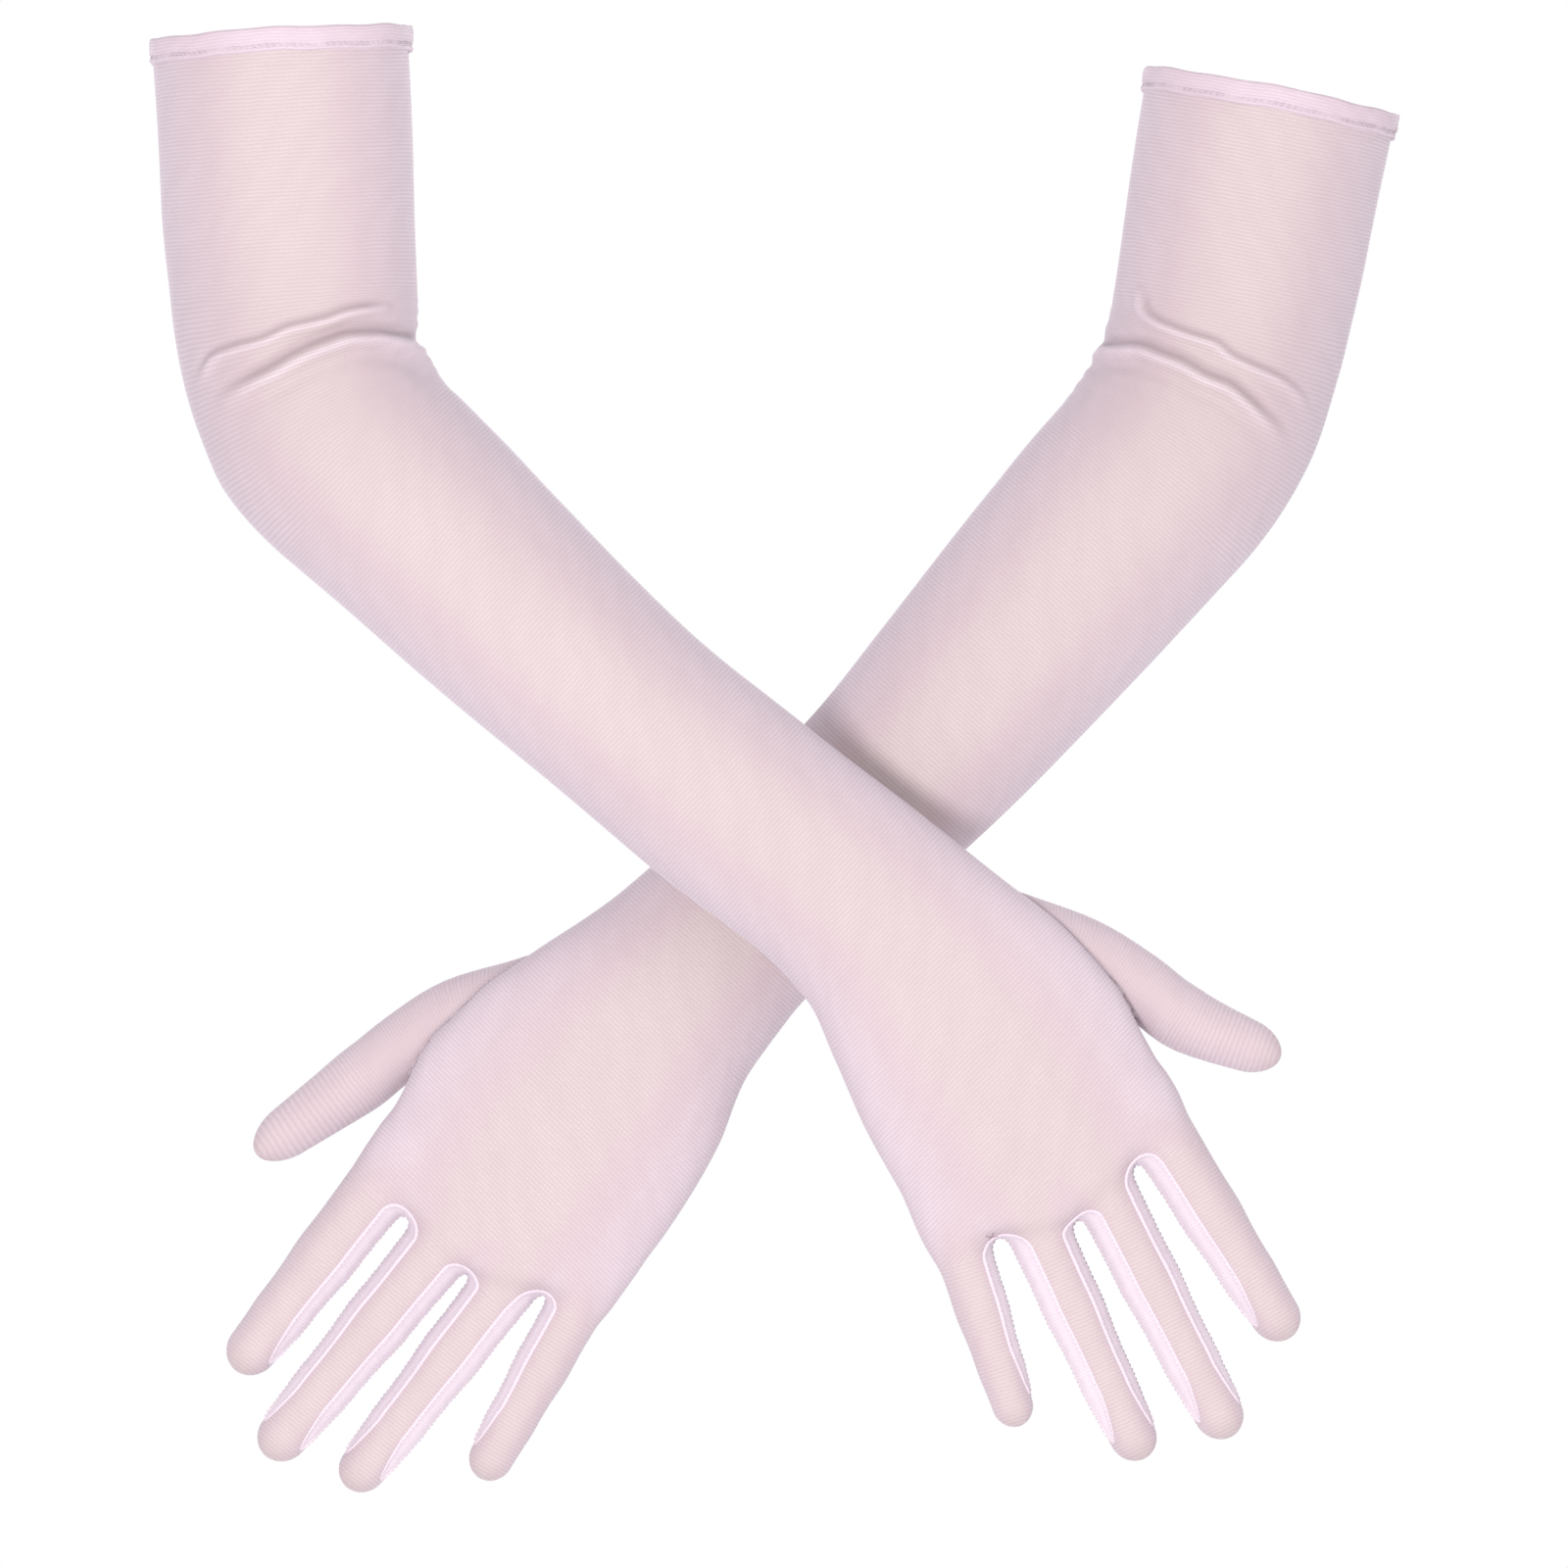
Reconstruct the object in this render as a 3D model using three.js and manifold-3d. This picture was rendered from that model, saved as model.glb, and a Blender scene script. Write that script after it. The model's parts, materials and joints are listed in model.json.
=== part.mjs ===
// A pair of sheer opera-length gloves, filled out as they are when worn and crossed at the forearms.
// Millimetres, +Z up. The origin is the centre of the left glove's arm opening. Each glove runs
// down from its hem: upper sleeve, elbow, forearm, wrist, hand and five fingers. Both backs of the
// hands face -Y. The left glove lies behind the plane where the two touch, the right one before it.

import * as THREE from 'three';
import { mergeVertices } from 'three/addons/utils/BufferGeometryUtils.js';
import Module from 'manifold-3d';

const wasm = await Module();
wasm.setup();

// ---- fabric and joints between the pieces
const WALL = 0.9;            // cloth, thickened to a solid wall
const HEM_HEIGHT = 7;        // turned hem at the arm opening
const HEM_WALL = 1.8;        // hem cloth is double
const HEM_PROUD = 0.5;       // the hem stands out past the sleeve by this
const GAP = 0.3;             // between neighbouring pieces
const TOUCH_GAP = 0.5;       // between the two gloves where the forearms cross

// ---- arm, half sizes of the sections: across the arm and front to back
const HEM = { half: 38.2, deep: 39 };
const ELBOW = { half: 36.3, deep: 35 };
// at: from the elbow's centre; before: short of the wrist crease; shift: towards the thumb
const FOREARM_TOP = { half: 34.8, deep: 33.5, shift: -1.5, at: 48 };
const FOREARM_MID = { half: 31.3, deep: 28.5, shift: -2.5, at: 125 };
const WRIST_NARROW = { half: 29, deep: 21, shift: 1, before: 22 };
const WRIST = { half: 33, deep: 19.5, shift: 5 };
const ELBOW_BEND = 29;       // length of sleeve that bends, each side of the elbow's centre
const WRIST_BEND = 15;       // length of sleeve that bends, each side of the wrist crease

// ---- hand sections: h from the wrist crease, little-finger edge, thumb edge, half depth, and
// how much of the glove's own tuck the little-finger edge takes
const PALM = [
  { h: 0, little: WRIST.shift - WRIST.half, thumb: WRIST.shift + WRIST.half, deep: WRIST.deep, tuck: 0 },
  { h: 20, little: -38, thumb: 41, deep: 17.5, tuck: 1 },
  { h: 40, little: -44, thumb: 43, deep: 16, tuck: 1 },
  { h: 59, little: -48, thumb: 42.5, deep: 14.5, tuck: 0.7 },
  { h: 81, little: -51.5, thumb: 36.5, deep: 12.5, tuck: 0 },
  { h: 100, little: -51.5, thumb: 31.5, deep: 10.5, tuck: 0 },
  { h: 112, little: -51.5, thumb: 30, deep: 9.5, tuck: 0 },
];
const PALM_SQUARE = 2.6;     // how boxy the palm's section is; 2 is an ellipse
const KNUCKLE_BAND = 14;     // the band at the fingers' roots that gives as they fold

// ---- thumb: its centre line over the hand as [h, v, towards the palm] and half widths
const THUMB_LINE = [[12, 20, 2], [30, 30.5, 5], [48, 41, 8], [66, 46, 9]];   // the tip is the glove's own
const THUMB_HALF = [14, 13, 11.3, 9.8, 9.8, 8.2];
const THUMB_DEEP = 0.92;     // depth over width
const THUMB_STALL = 0.68;    // share of the centre line where the base ends and the stall begins

// ---- fingers, half width at root and tip, and how far the tip curls to the palm
const FINGERS = {
  index: { half: 9.2, tip: 7.4, curl: 8 },
  middle: { half: 9.3, tip: 7.4, curl: 9 },
  ring: { half: 8.6, tip: 6.9, curl: 10 },
  little: { half: 8.3, tip: 6.4, curl: 8 },
};
const FOLD_BACK = 4;         // a finger folds this far short of its root
const FINGER_DEEP = 0.92;    // depth over width
const FOURCHETTE_WIDE = 7;   // side strips between the fingers
const FOURCHETTE_SHORT = 11; // the strips stop this far before the fingertip
const CROTCH_LONG = 6;       // the little gusset where two strips meet

// ---- the two gloves. Leans are degrees from straight down towards +X; layer is +1 behind the
// plane where the gloves touch; side is +1 when the thumb is on the +X side. Fingers: root as
// [h, v] in the hand, lean from the hand's line, length from root to tip.
const LEFT = {
  name: 'left', hem: [0, 0], upperLean: -11, upperLength: 98,
  forearmLean: -42.5, forearmLength: 235, handLean: -44.5, side: -1, layer: 1,
  tuck: -2.5, thumb: [[85, 47.5, 9], [116, 53, 8]],
  fingers: {
    index: { root: [99, 23], lean: -6.5, length: 70 },
    middle: { root: [96.5, 0.5], lean: -5.5, length: 84 },
    ring: { root: [89, -21.5], lean: -7, length: 81 },
    little: { root: [81, -41.5], lean: -14.5, length: 62.5 },
  },
};
const RIGHT = {
  name: 'right', hem: [-293.5, 15], upperLean: 3.2, upperLength: 106,
  forearmLean: 46.5, forearmLength: 232, handLean: 45, side: 1, layer: -1,
  tuck: 4, thumb: [[85, 48.5, 9], [112, 58.5, 8]],
  fingers: {
    index: { root: [102, 20.5], lean: -14, length: 71 },
    middle: { root: [98.5, -1.5], lean: -19.5, length: 87 },
    ring: { root: [90, -23.5], lean: -21.5, length: 82.5 },
    little: { root: [81, -43], lean: -27.5, length: 61 },
  },
};

// ---- mesh fineness
const ARM_SIDES = 20;
const HAND_SIDES = 20;
const FINGER_SIDES = 12;

// ---- cutting blocks reach this far past what they cut
const HAND_SPAN = 90;        // from the hand's middle line, past the thumb
const HAND_CLEAR = 40;       // from the outer fingers

const CLOTH = { color: 0xecd9d9, roughness: 0.7, metalness: 0 };
const PALE = { color: 0xf3e6f0, roughness: 0.7, metalness: 0 };
const HEM_PINK = { color: 0xf0d7e6, roughness: 0.65, metalness: 0 };

const rad = THREE.MathUtils.degToRad;
const mix = THREE.MathUtils.lerp;

// The touching plane lies this far before the left glove's hem centre.
const touchPlane = -(HEM.deep + HEM_PROUD + TOUCH_GAP / 2);

// ---------------------------------------------------------------- solids and meshes

function bare(geometry) {
  const plain = geometry.index ? geometry.clone() : geometry;
  for (const name of Object.keys(plain.attributes)) {
    if (name !== 'position') plain.deleteAttribute(name);
  }
  return mergeVertices(plain, 1e-4);
}

function volumeOf(geometry) {
  const p = geometry.attributes.position;
  const i = geometry.index.array;
  const [a, b, c] = [new THREE.Vector3(), new THREE.Vector3(), new THREE.Vector3()];
  let sum = 0;
  for (let k = 0; k < i.length; k += 3) {
    a.fromBufferAttribute(p, i[k]);
    b.fromBufferAttribute(p, i[k + 1]);
    c.fromBufferAttribute(p, i[k + 2]);
    sum += a.dot(b.cross(c)) / 6;
  }
  return sum;
}

// Merged, without degenerate faces, and facing outwards.
function closed(geometry) {
  const g = bare(geometry);
  const i = g.index.array;
  const keep = [];
  for (let k = 0; k < i.length; k += 3) {
    if (i[k] !== i[k + 1] && i[k + 1] !== i[k + 2] && i[k] !== i[k + 2]) {
      keep.push(i[k], i[k + 1], i[k + 2]);
    }
  }
  g.setIndex(keep);
  if (volumeOf(g) < 0) {
    for (let k = 0; k < keep.length; k += 3) [keep[k], keep[k + 1]] = [keep[k + 1], keep[k]];
    g.setIndex(keep);
  }
  return g;
}

function toSolid(geometry) {
  const g = closed(geometry);
  return new wasm.Manifold(new wasm.Mesh({
    numProp: 3,
    vertProperties: new Float32Array(g.attributes.position.array),
    triVerts: new Uint32Array(g.index.array),
  }));
}

function toGeometry(solid) {
  const m = solid.getMesh();
  const g = new THREE.BufferGeometry();
  g.setAttribute('position', new THREE.BufferAttribute(m.vertProperties, 3));
  g.setIndex(new THREE.BufferAttribute(m.triVerts, 1));
  return g;
}

// ---------------------------------------------------------------- sections and lofts

// A section: centre c, unit vector across, half size across and front to back, boxiness.
function onSection(s, angle, inset) {
  const [co, si] = [Math.cos(angle), Math.sin(angle)];
  const e = 2 / (s.square ?? 2);
  const x = (s.half - inset) * Math.sign(co) * Math.abs(co) ** e;
  const y = (s.deep - inset) * Math.sign(si) * Math.abs(si) ** e;
  return s.c.clone().addScaledVector(s.across, x).add(new THREE.Vector3(0, y, 0));
}

// A solid through the sections, closed at both ends.
function loft(sections, sides, inset = 0) {
  const g = new THREE.CylinderGeometry(1, 1, sections.length - 1, sides, sections.length - 1);
  return reshape(g, sections, sides, () => inset);
}

// An open tube through the sections, its wall measured inwards.
function tube(sections, sides, wall, proud = 0) {
  const n = sections.length - 1;
  const outer = sections.map((_, k) => new THREE.Vector2(1, k));
  const inner = sections.map((_, k) => new THREE.Vector2(0.5, n - k));
  const g = new THREE.LatheGeometry([...outer, ...inner, outer[0]], sides);
  return reshape(g, sections, sides, (r) => (r > 0.75 ? -proud : wall - proud), 0);
}

// A tube closed at its far end, where the sections shrink to a rounded tip.
function stall(sections, sides, wall) {
  const n = sections.length - 1;
  const outer = sections.map((_, k) => new THREE.Vector2(k < n ? 1 : 0, k));
  const inner = sections.map((_, k) => new THREE.Vector2(n - k < n ? 0.5 : 0, n - k));
  const g = new THREE.LatheGeometry([...inner, ...outer], sides);
  return reshape(g, sections, sides, (r) => (r > 0.75 ? 0 : wall), 0, wall);
}

// Moves a unit cylinder's or lathe's vertices onto the sections.
function reshape(geometry, sections, sides, insetOf, low = -(sections.length - 1) / 2, tip = 0) {
  const p = geometry.attributes.position;
  const n = sections.length - 1;
  const inwards = sections[n - 1].c.clone().sub(sections[n].c).normalize();
  for (let k = 0; k < p.count; k++) {
    const [x, y, z] = [p.getX(k), p.getY(k), p.getZ(k)];
    const section = sections[Math.round(y - low)];
    const r = Math.hypot(x, z);
    const turn = Math.round((Math.atan2(z, x) / (2 * Math.PI)) * sides) % sides;
    const at = r < 0.25
      ? section.c.clone()
      : onSection(section, (turn / sides) * 2 * Math.PI, insetOf(r));
    if (tip && r < 0.25 && insideTip(geometry, k)) at.addScaledVector(inwards, tip);
    p.setXYZ(k, at.x, at.y, at.z);
  }
  return closed(geometry);
}

// Lathe vertices come profile by profile; the first point of each is the inner tip.
function insideTip(geometry, k) {
  return k % geometry.parameters.points.length === 0;
}

// ---------------------------------------------------------------- the arm

function direction(lean) {
  return new THREE.Vector3(Math.sin(rad(lean)), 0, -Math.cos(rad(lean)));
}

function across(lean) {
  return new THREE.Vector3(Math.cos(rad(lean)), 0, Math.sin(rad(lean)));
}

function places(glove) {
  const hem = new THREE.Vector3(glove.hem[0], 0, glove.hem[1]);
  const elbow = hem.clone().addScaledVector(direction(glove.upperLean), glove.upperLength);
  const wrist = elbow.clone().addScaledVector(direction(glove.forearmLean), glove.forearmLength);
  return { hem, elbow, wrist };
}

// The glove's middle, front to back, where its section is this deep: always touching the plane.
function layerY(glove, deep) {
  return touchPlane + glove.layer * (TOUCH_GAP / 2 + deep);
}

function section(glove, point, lean, half, deep, shift = 0, proud = 0) {
  const side = across(lean);
  const c = point.clone().addScaledVector(side, shift * glove.side);
  c.y = layerY(glove, deep + proud);
  return { c, across: side, half, deep };
}

// s along the upper arm, from the hem.
function upperSection(glove, s, proud = 0) {
  const t = s / glove.upperLength;
  const at = places(glove).hem.addScaledVector(direction(glove.upperLean), s);
  return section(glove, at, glove.upperLean, mix(HEM.half, ELBOW.half, t),
    mix(HEM.deep, ELBOW.deep, t), 0, proud);
}

// s along the forearm, from the elbow's centre; past its length it runs into the hand.
function forearmSection(glove, s) {
  const crease = glove.forearmLength;
  const stops = [
    [0, ELBOW.half, ELBOW.deep, 0],
    [FOREARM_TOP.at, FOREARM_TOP.half, FOREARM_TOP.deep, FOREARM_TOP.shift],
    [FOREARM_MID.at, FOREARM_MID.half, FOREARM_MID.deep, FOREARM_MID.shift],
    [crease - WRIST_NARROW.before, WRIST_NARROW.half, WRIST_NARROW.deep, WRIST_NARROW.shift],
    [crease, WRIST.half, WRIST.deep, WRIST.shift],
  ];
  let k = 0;
  while (k < stops.length - 2 && s > stops[k + 1][0]) k++;
  const t = (s - stops[k][0]) / (stops[k + 1][0] - stops[k][0]);
  const at = places(glove).elbow.addScaledVector(direction(glove.forearmLean), s);
  return section(glove, at, glove.forearmLean, mix(stops[k][1], stops[k + 1][1], t),
    mix(stops[k][2], stops[k + 1][2], t), mix(stops[k][3], stops[k + 1][3], t));
}

// Sections round the elbow's corner, on a curve that leaves both arms along their own lines.
function elbowSections(glove, steps) {
  const from = upperSection(glove, glove.upperLength - ELBOW_BEND + GAP / 2);
  const to = forearmSection(glove, ELBOW_BEND - GAP / 2);
  const reach = ELBOW_BEND * 0.65;
  const curve = new THREE.CubicBezierCurve3(
    from.c, from.c.clone().addScaledVector(direction(glove.upperLean), reach),
    to.c.clone().addScaledVector(direction(glove.forearmLean), -reach), to.c);
  const list = [];
  for (let k = 0; k <= steps; k++) {
    const t = k / steps;
    const tangent = curve.getTangent(t);
    const lean = THREE.MathUtils.radToDeg(Math.atan2(tangent.x, -tangent.z));
    list.push(section(glove, curve.getPoint(t), lean, mix(from.half, to.half, t),
      mix(from.deep, to.deep, t)));
  }
  return list;
}

// Sections over the wrist crease, from the forearm's line into the hand's.
function wristSections(glove) {
  const { half, deep, shift } = WRIST;
  const list = [-WRIST_BEND + GAP / 2, -WRIST_BEND / 2].map(
    (s) => forearmSection(glove, glove.forearmLength + s));
  const wrist = places(glove).wrist;
  list.push(section(glove, wrist, (glove.forearmLean + glove.handLean) / 2, half, deep, shift));
  for (const h of [WRIST_BEND / 2, WRIST_BEND - GAP / 2]) list.push(handToGlove(glove, palmSection(glove, h)));
  return list;
}

// ---------------------------------------------------------------- the hand, in its own frame
// In the hand's frame -Z runs from the wrist crease to the fingertips and +X to the thumb of a
// right hand; the left hand is built mirrored. h is the distance down, v the distance across.

function handPoint(h, v, y = 0) {
  return new THREE.Vector3(v, y, -h);
}

function palmSection(glove, h) {
  let k = 0;
  while (k < PALM.length - 2 && h > PALM[k + 1].h) k++;
  const [a, b] = [PALM[k], PALM[k + 1]];
  const t = (h - a.h) / (b.h - a.h);
  const little = mix(a.little, b.little, t) + glove.tuck * mix(a.tuck, b.tuck, t);
  const thumb = mix(a.thumb, b.thumb, t);
  const square = h <= 0 ? 2 : mix(2, PALM_SQUARE, Math.min(1, h / PALM[2].h));
  return {
    c: handPoint(h, (little + thumb) / 2), across: new THREE.Vector3(1, 0, 0),
    half: (thumb - little) / 2, deep: mix(a.deep, b.deep, t), square,
  };
}

// A hand section carried into the glove's frame, for the sleeve that meets it.
function handToGlove(glove, s) {
  const side = across(glove.handLean);
  const c = places(glove).wrist
    .addScaledVector(direction(glove.handLean), -s.c.z)
    .addScaledVector(side, s.c.x * glove.side);
  c.y = layerY(glove, WRIST.deep) + s.c.y;
  return { ...s, c, across: side };
}

function thumbCurve(glove) {
  const line = [...THUMB_LINE, ...glove.thumb];
  return new THREE.CatmullRomCurve3(line.map(([h, v, y]) => handPoint(h, v, y)));
}

function thumbSections(glove, from, to, steps) {
  const curve = thumbCurve(glove);
  const list = [];
  for (let k = 0; k <= steps; k++) {
    const t = mix(from, to, k / steps);
    const tangent = curve.getTangent(t);
    const side = new THREE.Vector3(-tangent.z, 0, tangent.x).normalize();
    const spot = t * (THUMB_HALF.length - 1);
    const i = Math.min(THUMB_HALF.length - 2, Math.floor(spot));
    const half = mix(THUMB_HALF[i], THUMB_HALF[i + 1], spot - i);
    list.push({ c: curve.getPoint(t), across: side, half, deep: half * THUMB_DEEP, t });
  }
  return list;
}

// Rounds off the last stretch of a finger, ending in a point at its tip.
function roundTip(body, tip, steps = 2) {
  const last = body[body.length - 1];
  const list = [...body];
  for (let k = 1; k <= steps; k++) {
    const a = (k / steps) * Math.PI / 2;
    const shrink = k === steps ? 0 : Math.cos(a);
    list.push({
      ...last, c: last.c.clone().lerp(tip, Math.sin(a)),
      half: last.half * shrink, deep: last.deep * shrink,
    });
  }
  return list;
}

// A finger in its own frame: the fold at the origin, -Z to the tip, curling to +Y.
function fingerSections(shape, length, from) {
  const reach = FOLD_BACK + length;
  const bend = (s) => shape.curl * (Math.max(0, s) / reach) ** 2;
  const at = (s) => new THREE.Vector3(0, bend(s), -s);
  const end = reach - shape.tip * 0.95;
  const list = [];
  const steps = 3;
  for (let k = 0; k <= steps; k++) {
    const s = mix(from, end, k / steps);
    const half = mix(shape.half, shape.tip, Math.max(0, s - FOLD_BACK) / length);
    list.push({ c: at(s), across: new THREE.Vector3(1, 0, 0), half, deep: half * FINGER_DEEP });
  }
  return { list: roundTip(list, at(reach)), bend, reach };
}

// A point in the hand: this far along a finger from its root, and out to its thumb side.
function besideFinger(glove, name, along, out) {
  const { root, lean } = glove.fingers[name];
  const [co, si] = [Math.cos(rad(lean)), Math.sin(rad(lean))];
  return [root[0] + along * co - out * si, root[1] + along * si + out * co];
}

// The line across the fingers' roots, from index to little finger, ending well clear of the hand.
function rootLine(glove, beyond) {
  const names = Object.keys(FINGERS);
  return names.flatMap((name, k) => {
    const half = FINGERS[name].half;
    const thumbSide = half + (k === 0 ? HAND_CLEAR : 0);
    const littleSide = half + (k === names.length - 1 ? HAND_CLEAR : 0);
    return [besideFinger(glove, name, beyond, thumbSide), besideFinger(glove, name, beyond, -littleSide)];
  });
}

// A prism through the hand, front to back, over an outline of [h, v] points.
function prism(points, low = -40, high = 40) {
  const shape = new THREE.Shape(points.map(([h, v]) => new THREE.Vector2(v, h)));
  const g = new THREE.ExtrudeGeometry(shape, { depth: high - low, bevelEnabled: false });
  g.rotateX(-Math.PI / 2);
  g.translate(0, low, 0);
  return toSolid(g);
}

function palmSolid(glove, inset) {
  return toSolid(loft(PALM.map(({ h }) => palmSection(glove, h)), HAND_SIDES, inset));
}

// The palm and back as one shell, its thumb hole open, and the band at the fingers' roots.
function palmPieces(glove) {
  const thumbWay = toSolid(loft(thumbSections(glove, 0.02, 0.7, 5), FINGER_SIDES, WALL));
  const shell = palmSolid(glove, 0).subtract(palmSolid(glove, WALL)).subtract(thumbWay);
  const start = WRIST_BEND + GAP / 2;
  const firm = rootLine(glove, -KNUCKLE_BAND - GAP);
  const band = [...rootLine(glove, -KNUCKLE_BAND), ...rootLine(glove, -GAP / 2).reverse()];
  return {
    hand: shell.intersect(prism([[start, HAND_SPAN], ...firm, [start, -HAND_SPAN]])),
    knuckle_band: shell.intersect(prism(band)),
  };
}

// The set-in thumb: a base that meets the palm along its seam, and the stall beyond the fold.
function thumbPieces(glove) {
  const palm = palmSolid(glove, -GAP);
  const length = thumbCurve(glove).getLength();
  const base = thumbSections(glove, 0.04, THUMB_STALL - GAP / 2 / length, 4);
  const shell = toSolid(loft(base, FINGER_SIDES)).subtract(toSolid(loft(base, FINGER_SIDES, WALL)));
  const ends = thumbSections(glove, THUMB_STALL - 0.1, THUMB_STALL + 0.1, 2);
  const open = toSolid(loft(ends, FINGER_SIDES, WALL));
  const body = thumbSections(glove, THUMB_STALL + GAP / 2 / length, 1 - THUMB_HALF[5] / length, 3);
  const stallBody = toSolid(stall(roundTip(body, thumbCurve(glove).getPoint(1)), FINGER_SIDES, WALL));
  const start = WRIST_BEND + GAP / 2;
  const beyondWrist = prism([[start, -HAND_SPAN], [200, -HAND_SPAN], [200, HAND_SPAN], [start, HAND_SPAN]]);
  return {
    thumb_base: shell.subtract(open).subtract(palm).intersect(beyondWrist),
    thumb_stall: stallBody.subtract(palm),
  };
}

// A side strip's cutting block in the finger's frame, following the finger's curl.
function stripBlock(finger, way, width, end) {
  const steps = 3;
  const edge = (s, k) => new THREE.Vector2(finger.bend(s) + (k * width) / 2, s);
  const list = [];
  for (let k = 0; k <= steps; k++) list.push(edge(mix(0, end, k / steps), 1));
  for (let k = steps; k >= 0; k--) list.push(edge(mix(0, end, k / steps), -1));
  const g = new THREE.ExtrudeGeometry(new THREE.Shape(list), { depth: 20, bevelEnabled: false });
  g.rotateY(Math.PI / 2);                    // depth to +X, the outline's x to -Z
  const p = g.attributes.position;
  for (let k = 0; k < p.count; k++) p.setXYZ(k, way * p.getX(k), -p.getZ(k), -p.getY(k));
  return toSolid(g);
}

// One finger: its stall, open where the side strips go, and a strip for each way in `ways`.
function fingerPieces(shape, length, ways) {
  const finger = fingerSections(shape, length, FOLD_BACK + GAP / 2);
  const whole = toSolid(stall(finger.list, FINGER_SIDES, WALL));
  const end = finger.reach - FOURCHETTE_SHORT;
  const pieces = { stall: whole };
  for (const way of ways) {
    const cut = stripBlock(finger, way, FOURCHETTE_WIDE + GAP, end + GAP / 2);
    const keep = stripBlock(finger, way, FOURCHETTE_WIDE - GAP, end - GAP / 2);
    pieces.stall = pieces.stall.subtract(cut);
    pieces[way > 0 ? 'fourchette_thumb_side' : 'fourchette_little_side'] = whole.intersect(keep);
  }
  return pieces;
}

// The gusset between two neighbouring fingers, at the foot of their side strips.
function crotchPiece(glove, upper, lower) {
  const edge = (name, way, along) => besideFinger(glove, name, along, way * (FINGERS[name].half + GAP));
  return prism([
    edge(upper, -1, GAP / 2), edge(upper, -1, CROTCH_LONG),
    edge(lower, 1, CROTCH_LONG), edge(lower, 1, GAP / 2),
  ], -FOURCHETTE_WIDE / 2, FOURCHETTE_WIDE / 2);
}

// ---------------------------------------------------------------- the gloves

function piece(name, geometry, style) {
  const mesh = new THREE.Mesh(geometry, new THREE.MeshStandardMaterial(style));
  mesh.name = name;
  return mesh;
}

function sleeves(glove) {
  const { upperLength, forearmLength } = glove;
  const span = (from, to, steps, f) => {
    const list = [];
    for (let k = 0; k <= steps; k++) list.push(f(mix(from, to, k / steps)));
    return list;
  };
  const hem = span(0, HEM_HEIGHT, 1, (s) => upperSection(glove, s, HEM_PROUD));
  const upper = span(HEM_HEIGHT + GAP, upperLength - ELBOW_BEND - GAP / 2, 2,
    (s) => upperSection(glove, s));
  const forearm = span(ELBOW_BEND + GAP / 2, forearmLength - WRIST_BEND - GAP / 2, 5,
    (s) => forearmSection(glove, s));
  return [
    piece(`${glove.name}_hem_band`, tube(hem, ARM_SIDES, HEM_WALL, HEM_PROUD), HEM_PINK),
    piece(`${glove.name}_upper_sleeve`, tube(upper, ARM_SIDES, WALL), CLOTH),
    piece(`${glove.name}_elbow_sleeve`, tube(elbowSections(glove, 4), ARM_SIDES, WALL), CLOTH),
    piece(`${glove.name}_forearm_sleeve`, tube(forearm, ARM_SIDES, WALL), CLOTH),
    piece(`${glove.name}_wrist_sleeve`, tube(wristSections(glove), ARM_SIDES, WALL), CLOTH),
  ];
}

function sided(glove, solid) {
  const g = toGeometry(solid);
  if (glove.side < 0) g.scale(-1, 1, 1);
  return closed(g);
}

function handGroup(glove) {
  const hand = new THREE.Group();
  hand.position.copy(places(glove).wrist).setY(layerY(glove, WRIST.deep));
  hand.rotation.y = -rad(glove.handLean);
  const parts = { ...palmPieces(glove), ...thumbPieces(glove) };
  for (const [name, solid] of Object.entries(parts)) {
    hand.add(piece(`${glove.name}_${name}`, sided(glove, solid), CLOTH));
  }
  const names = Object.keys(FINGERS);
  names.forEach((name, k) => {
    const ways = [1, -1].filter((way) => names[k - way]);
    const finger = new THREE.Group();
    const [h, v] = besideFinger(glove, name, -FOLD_BACK, 0);
    finger.position.copy(handPoint(h, v * glove.side));
    finger.rotation.y = -rad(glove.fingers[name].lean) * glove.side;
    const solids = fingerPieces(FINGERS[name], glove.fingers[name].length, ways);
    for (const [part, solid] of Object.entries(solids)) {
      const style = part === 'stall' ? CLOTH : PALE;
      finger.add(piece(`${glove.name}_${name}_${part}`, sided(glove, solid), style));
    }
    hand.add(finger);
    if (k > 0) {
      const crotch = sided(glove, crotchPiece(glove, names[k - 1], name));
      hand.add(piece(`${glove.name}_${names[k - 1]}_${name}_crotch`, crotch, PALE));
    }
  });
  return hand;
}

const gloves = new THREE.Group();
for (const glove of [LEFT, RIGHT]) gloves.add(...sleeves(glove), handGroup(glove));

export default gloves;
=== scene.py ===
# A pair of sheer opera gloves, filled out as they are when worn and crossed at the forearms.
# Each glove is a knitted sleeve with a turned hem, a hand, a set-in thumb, four finger stalls, and
# the pale strips sewn between the fingers. Sizes are in millimetres and become metres in each mesh.
import json
import math

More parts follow.
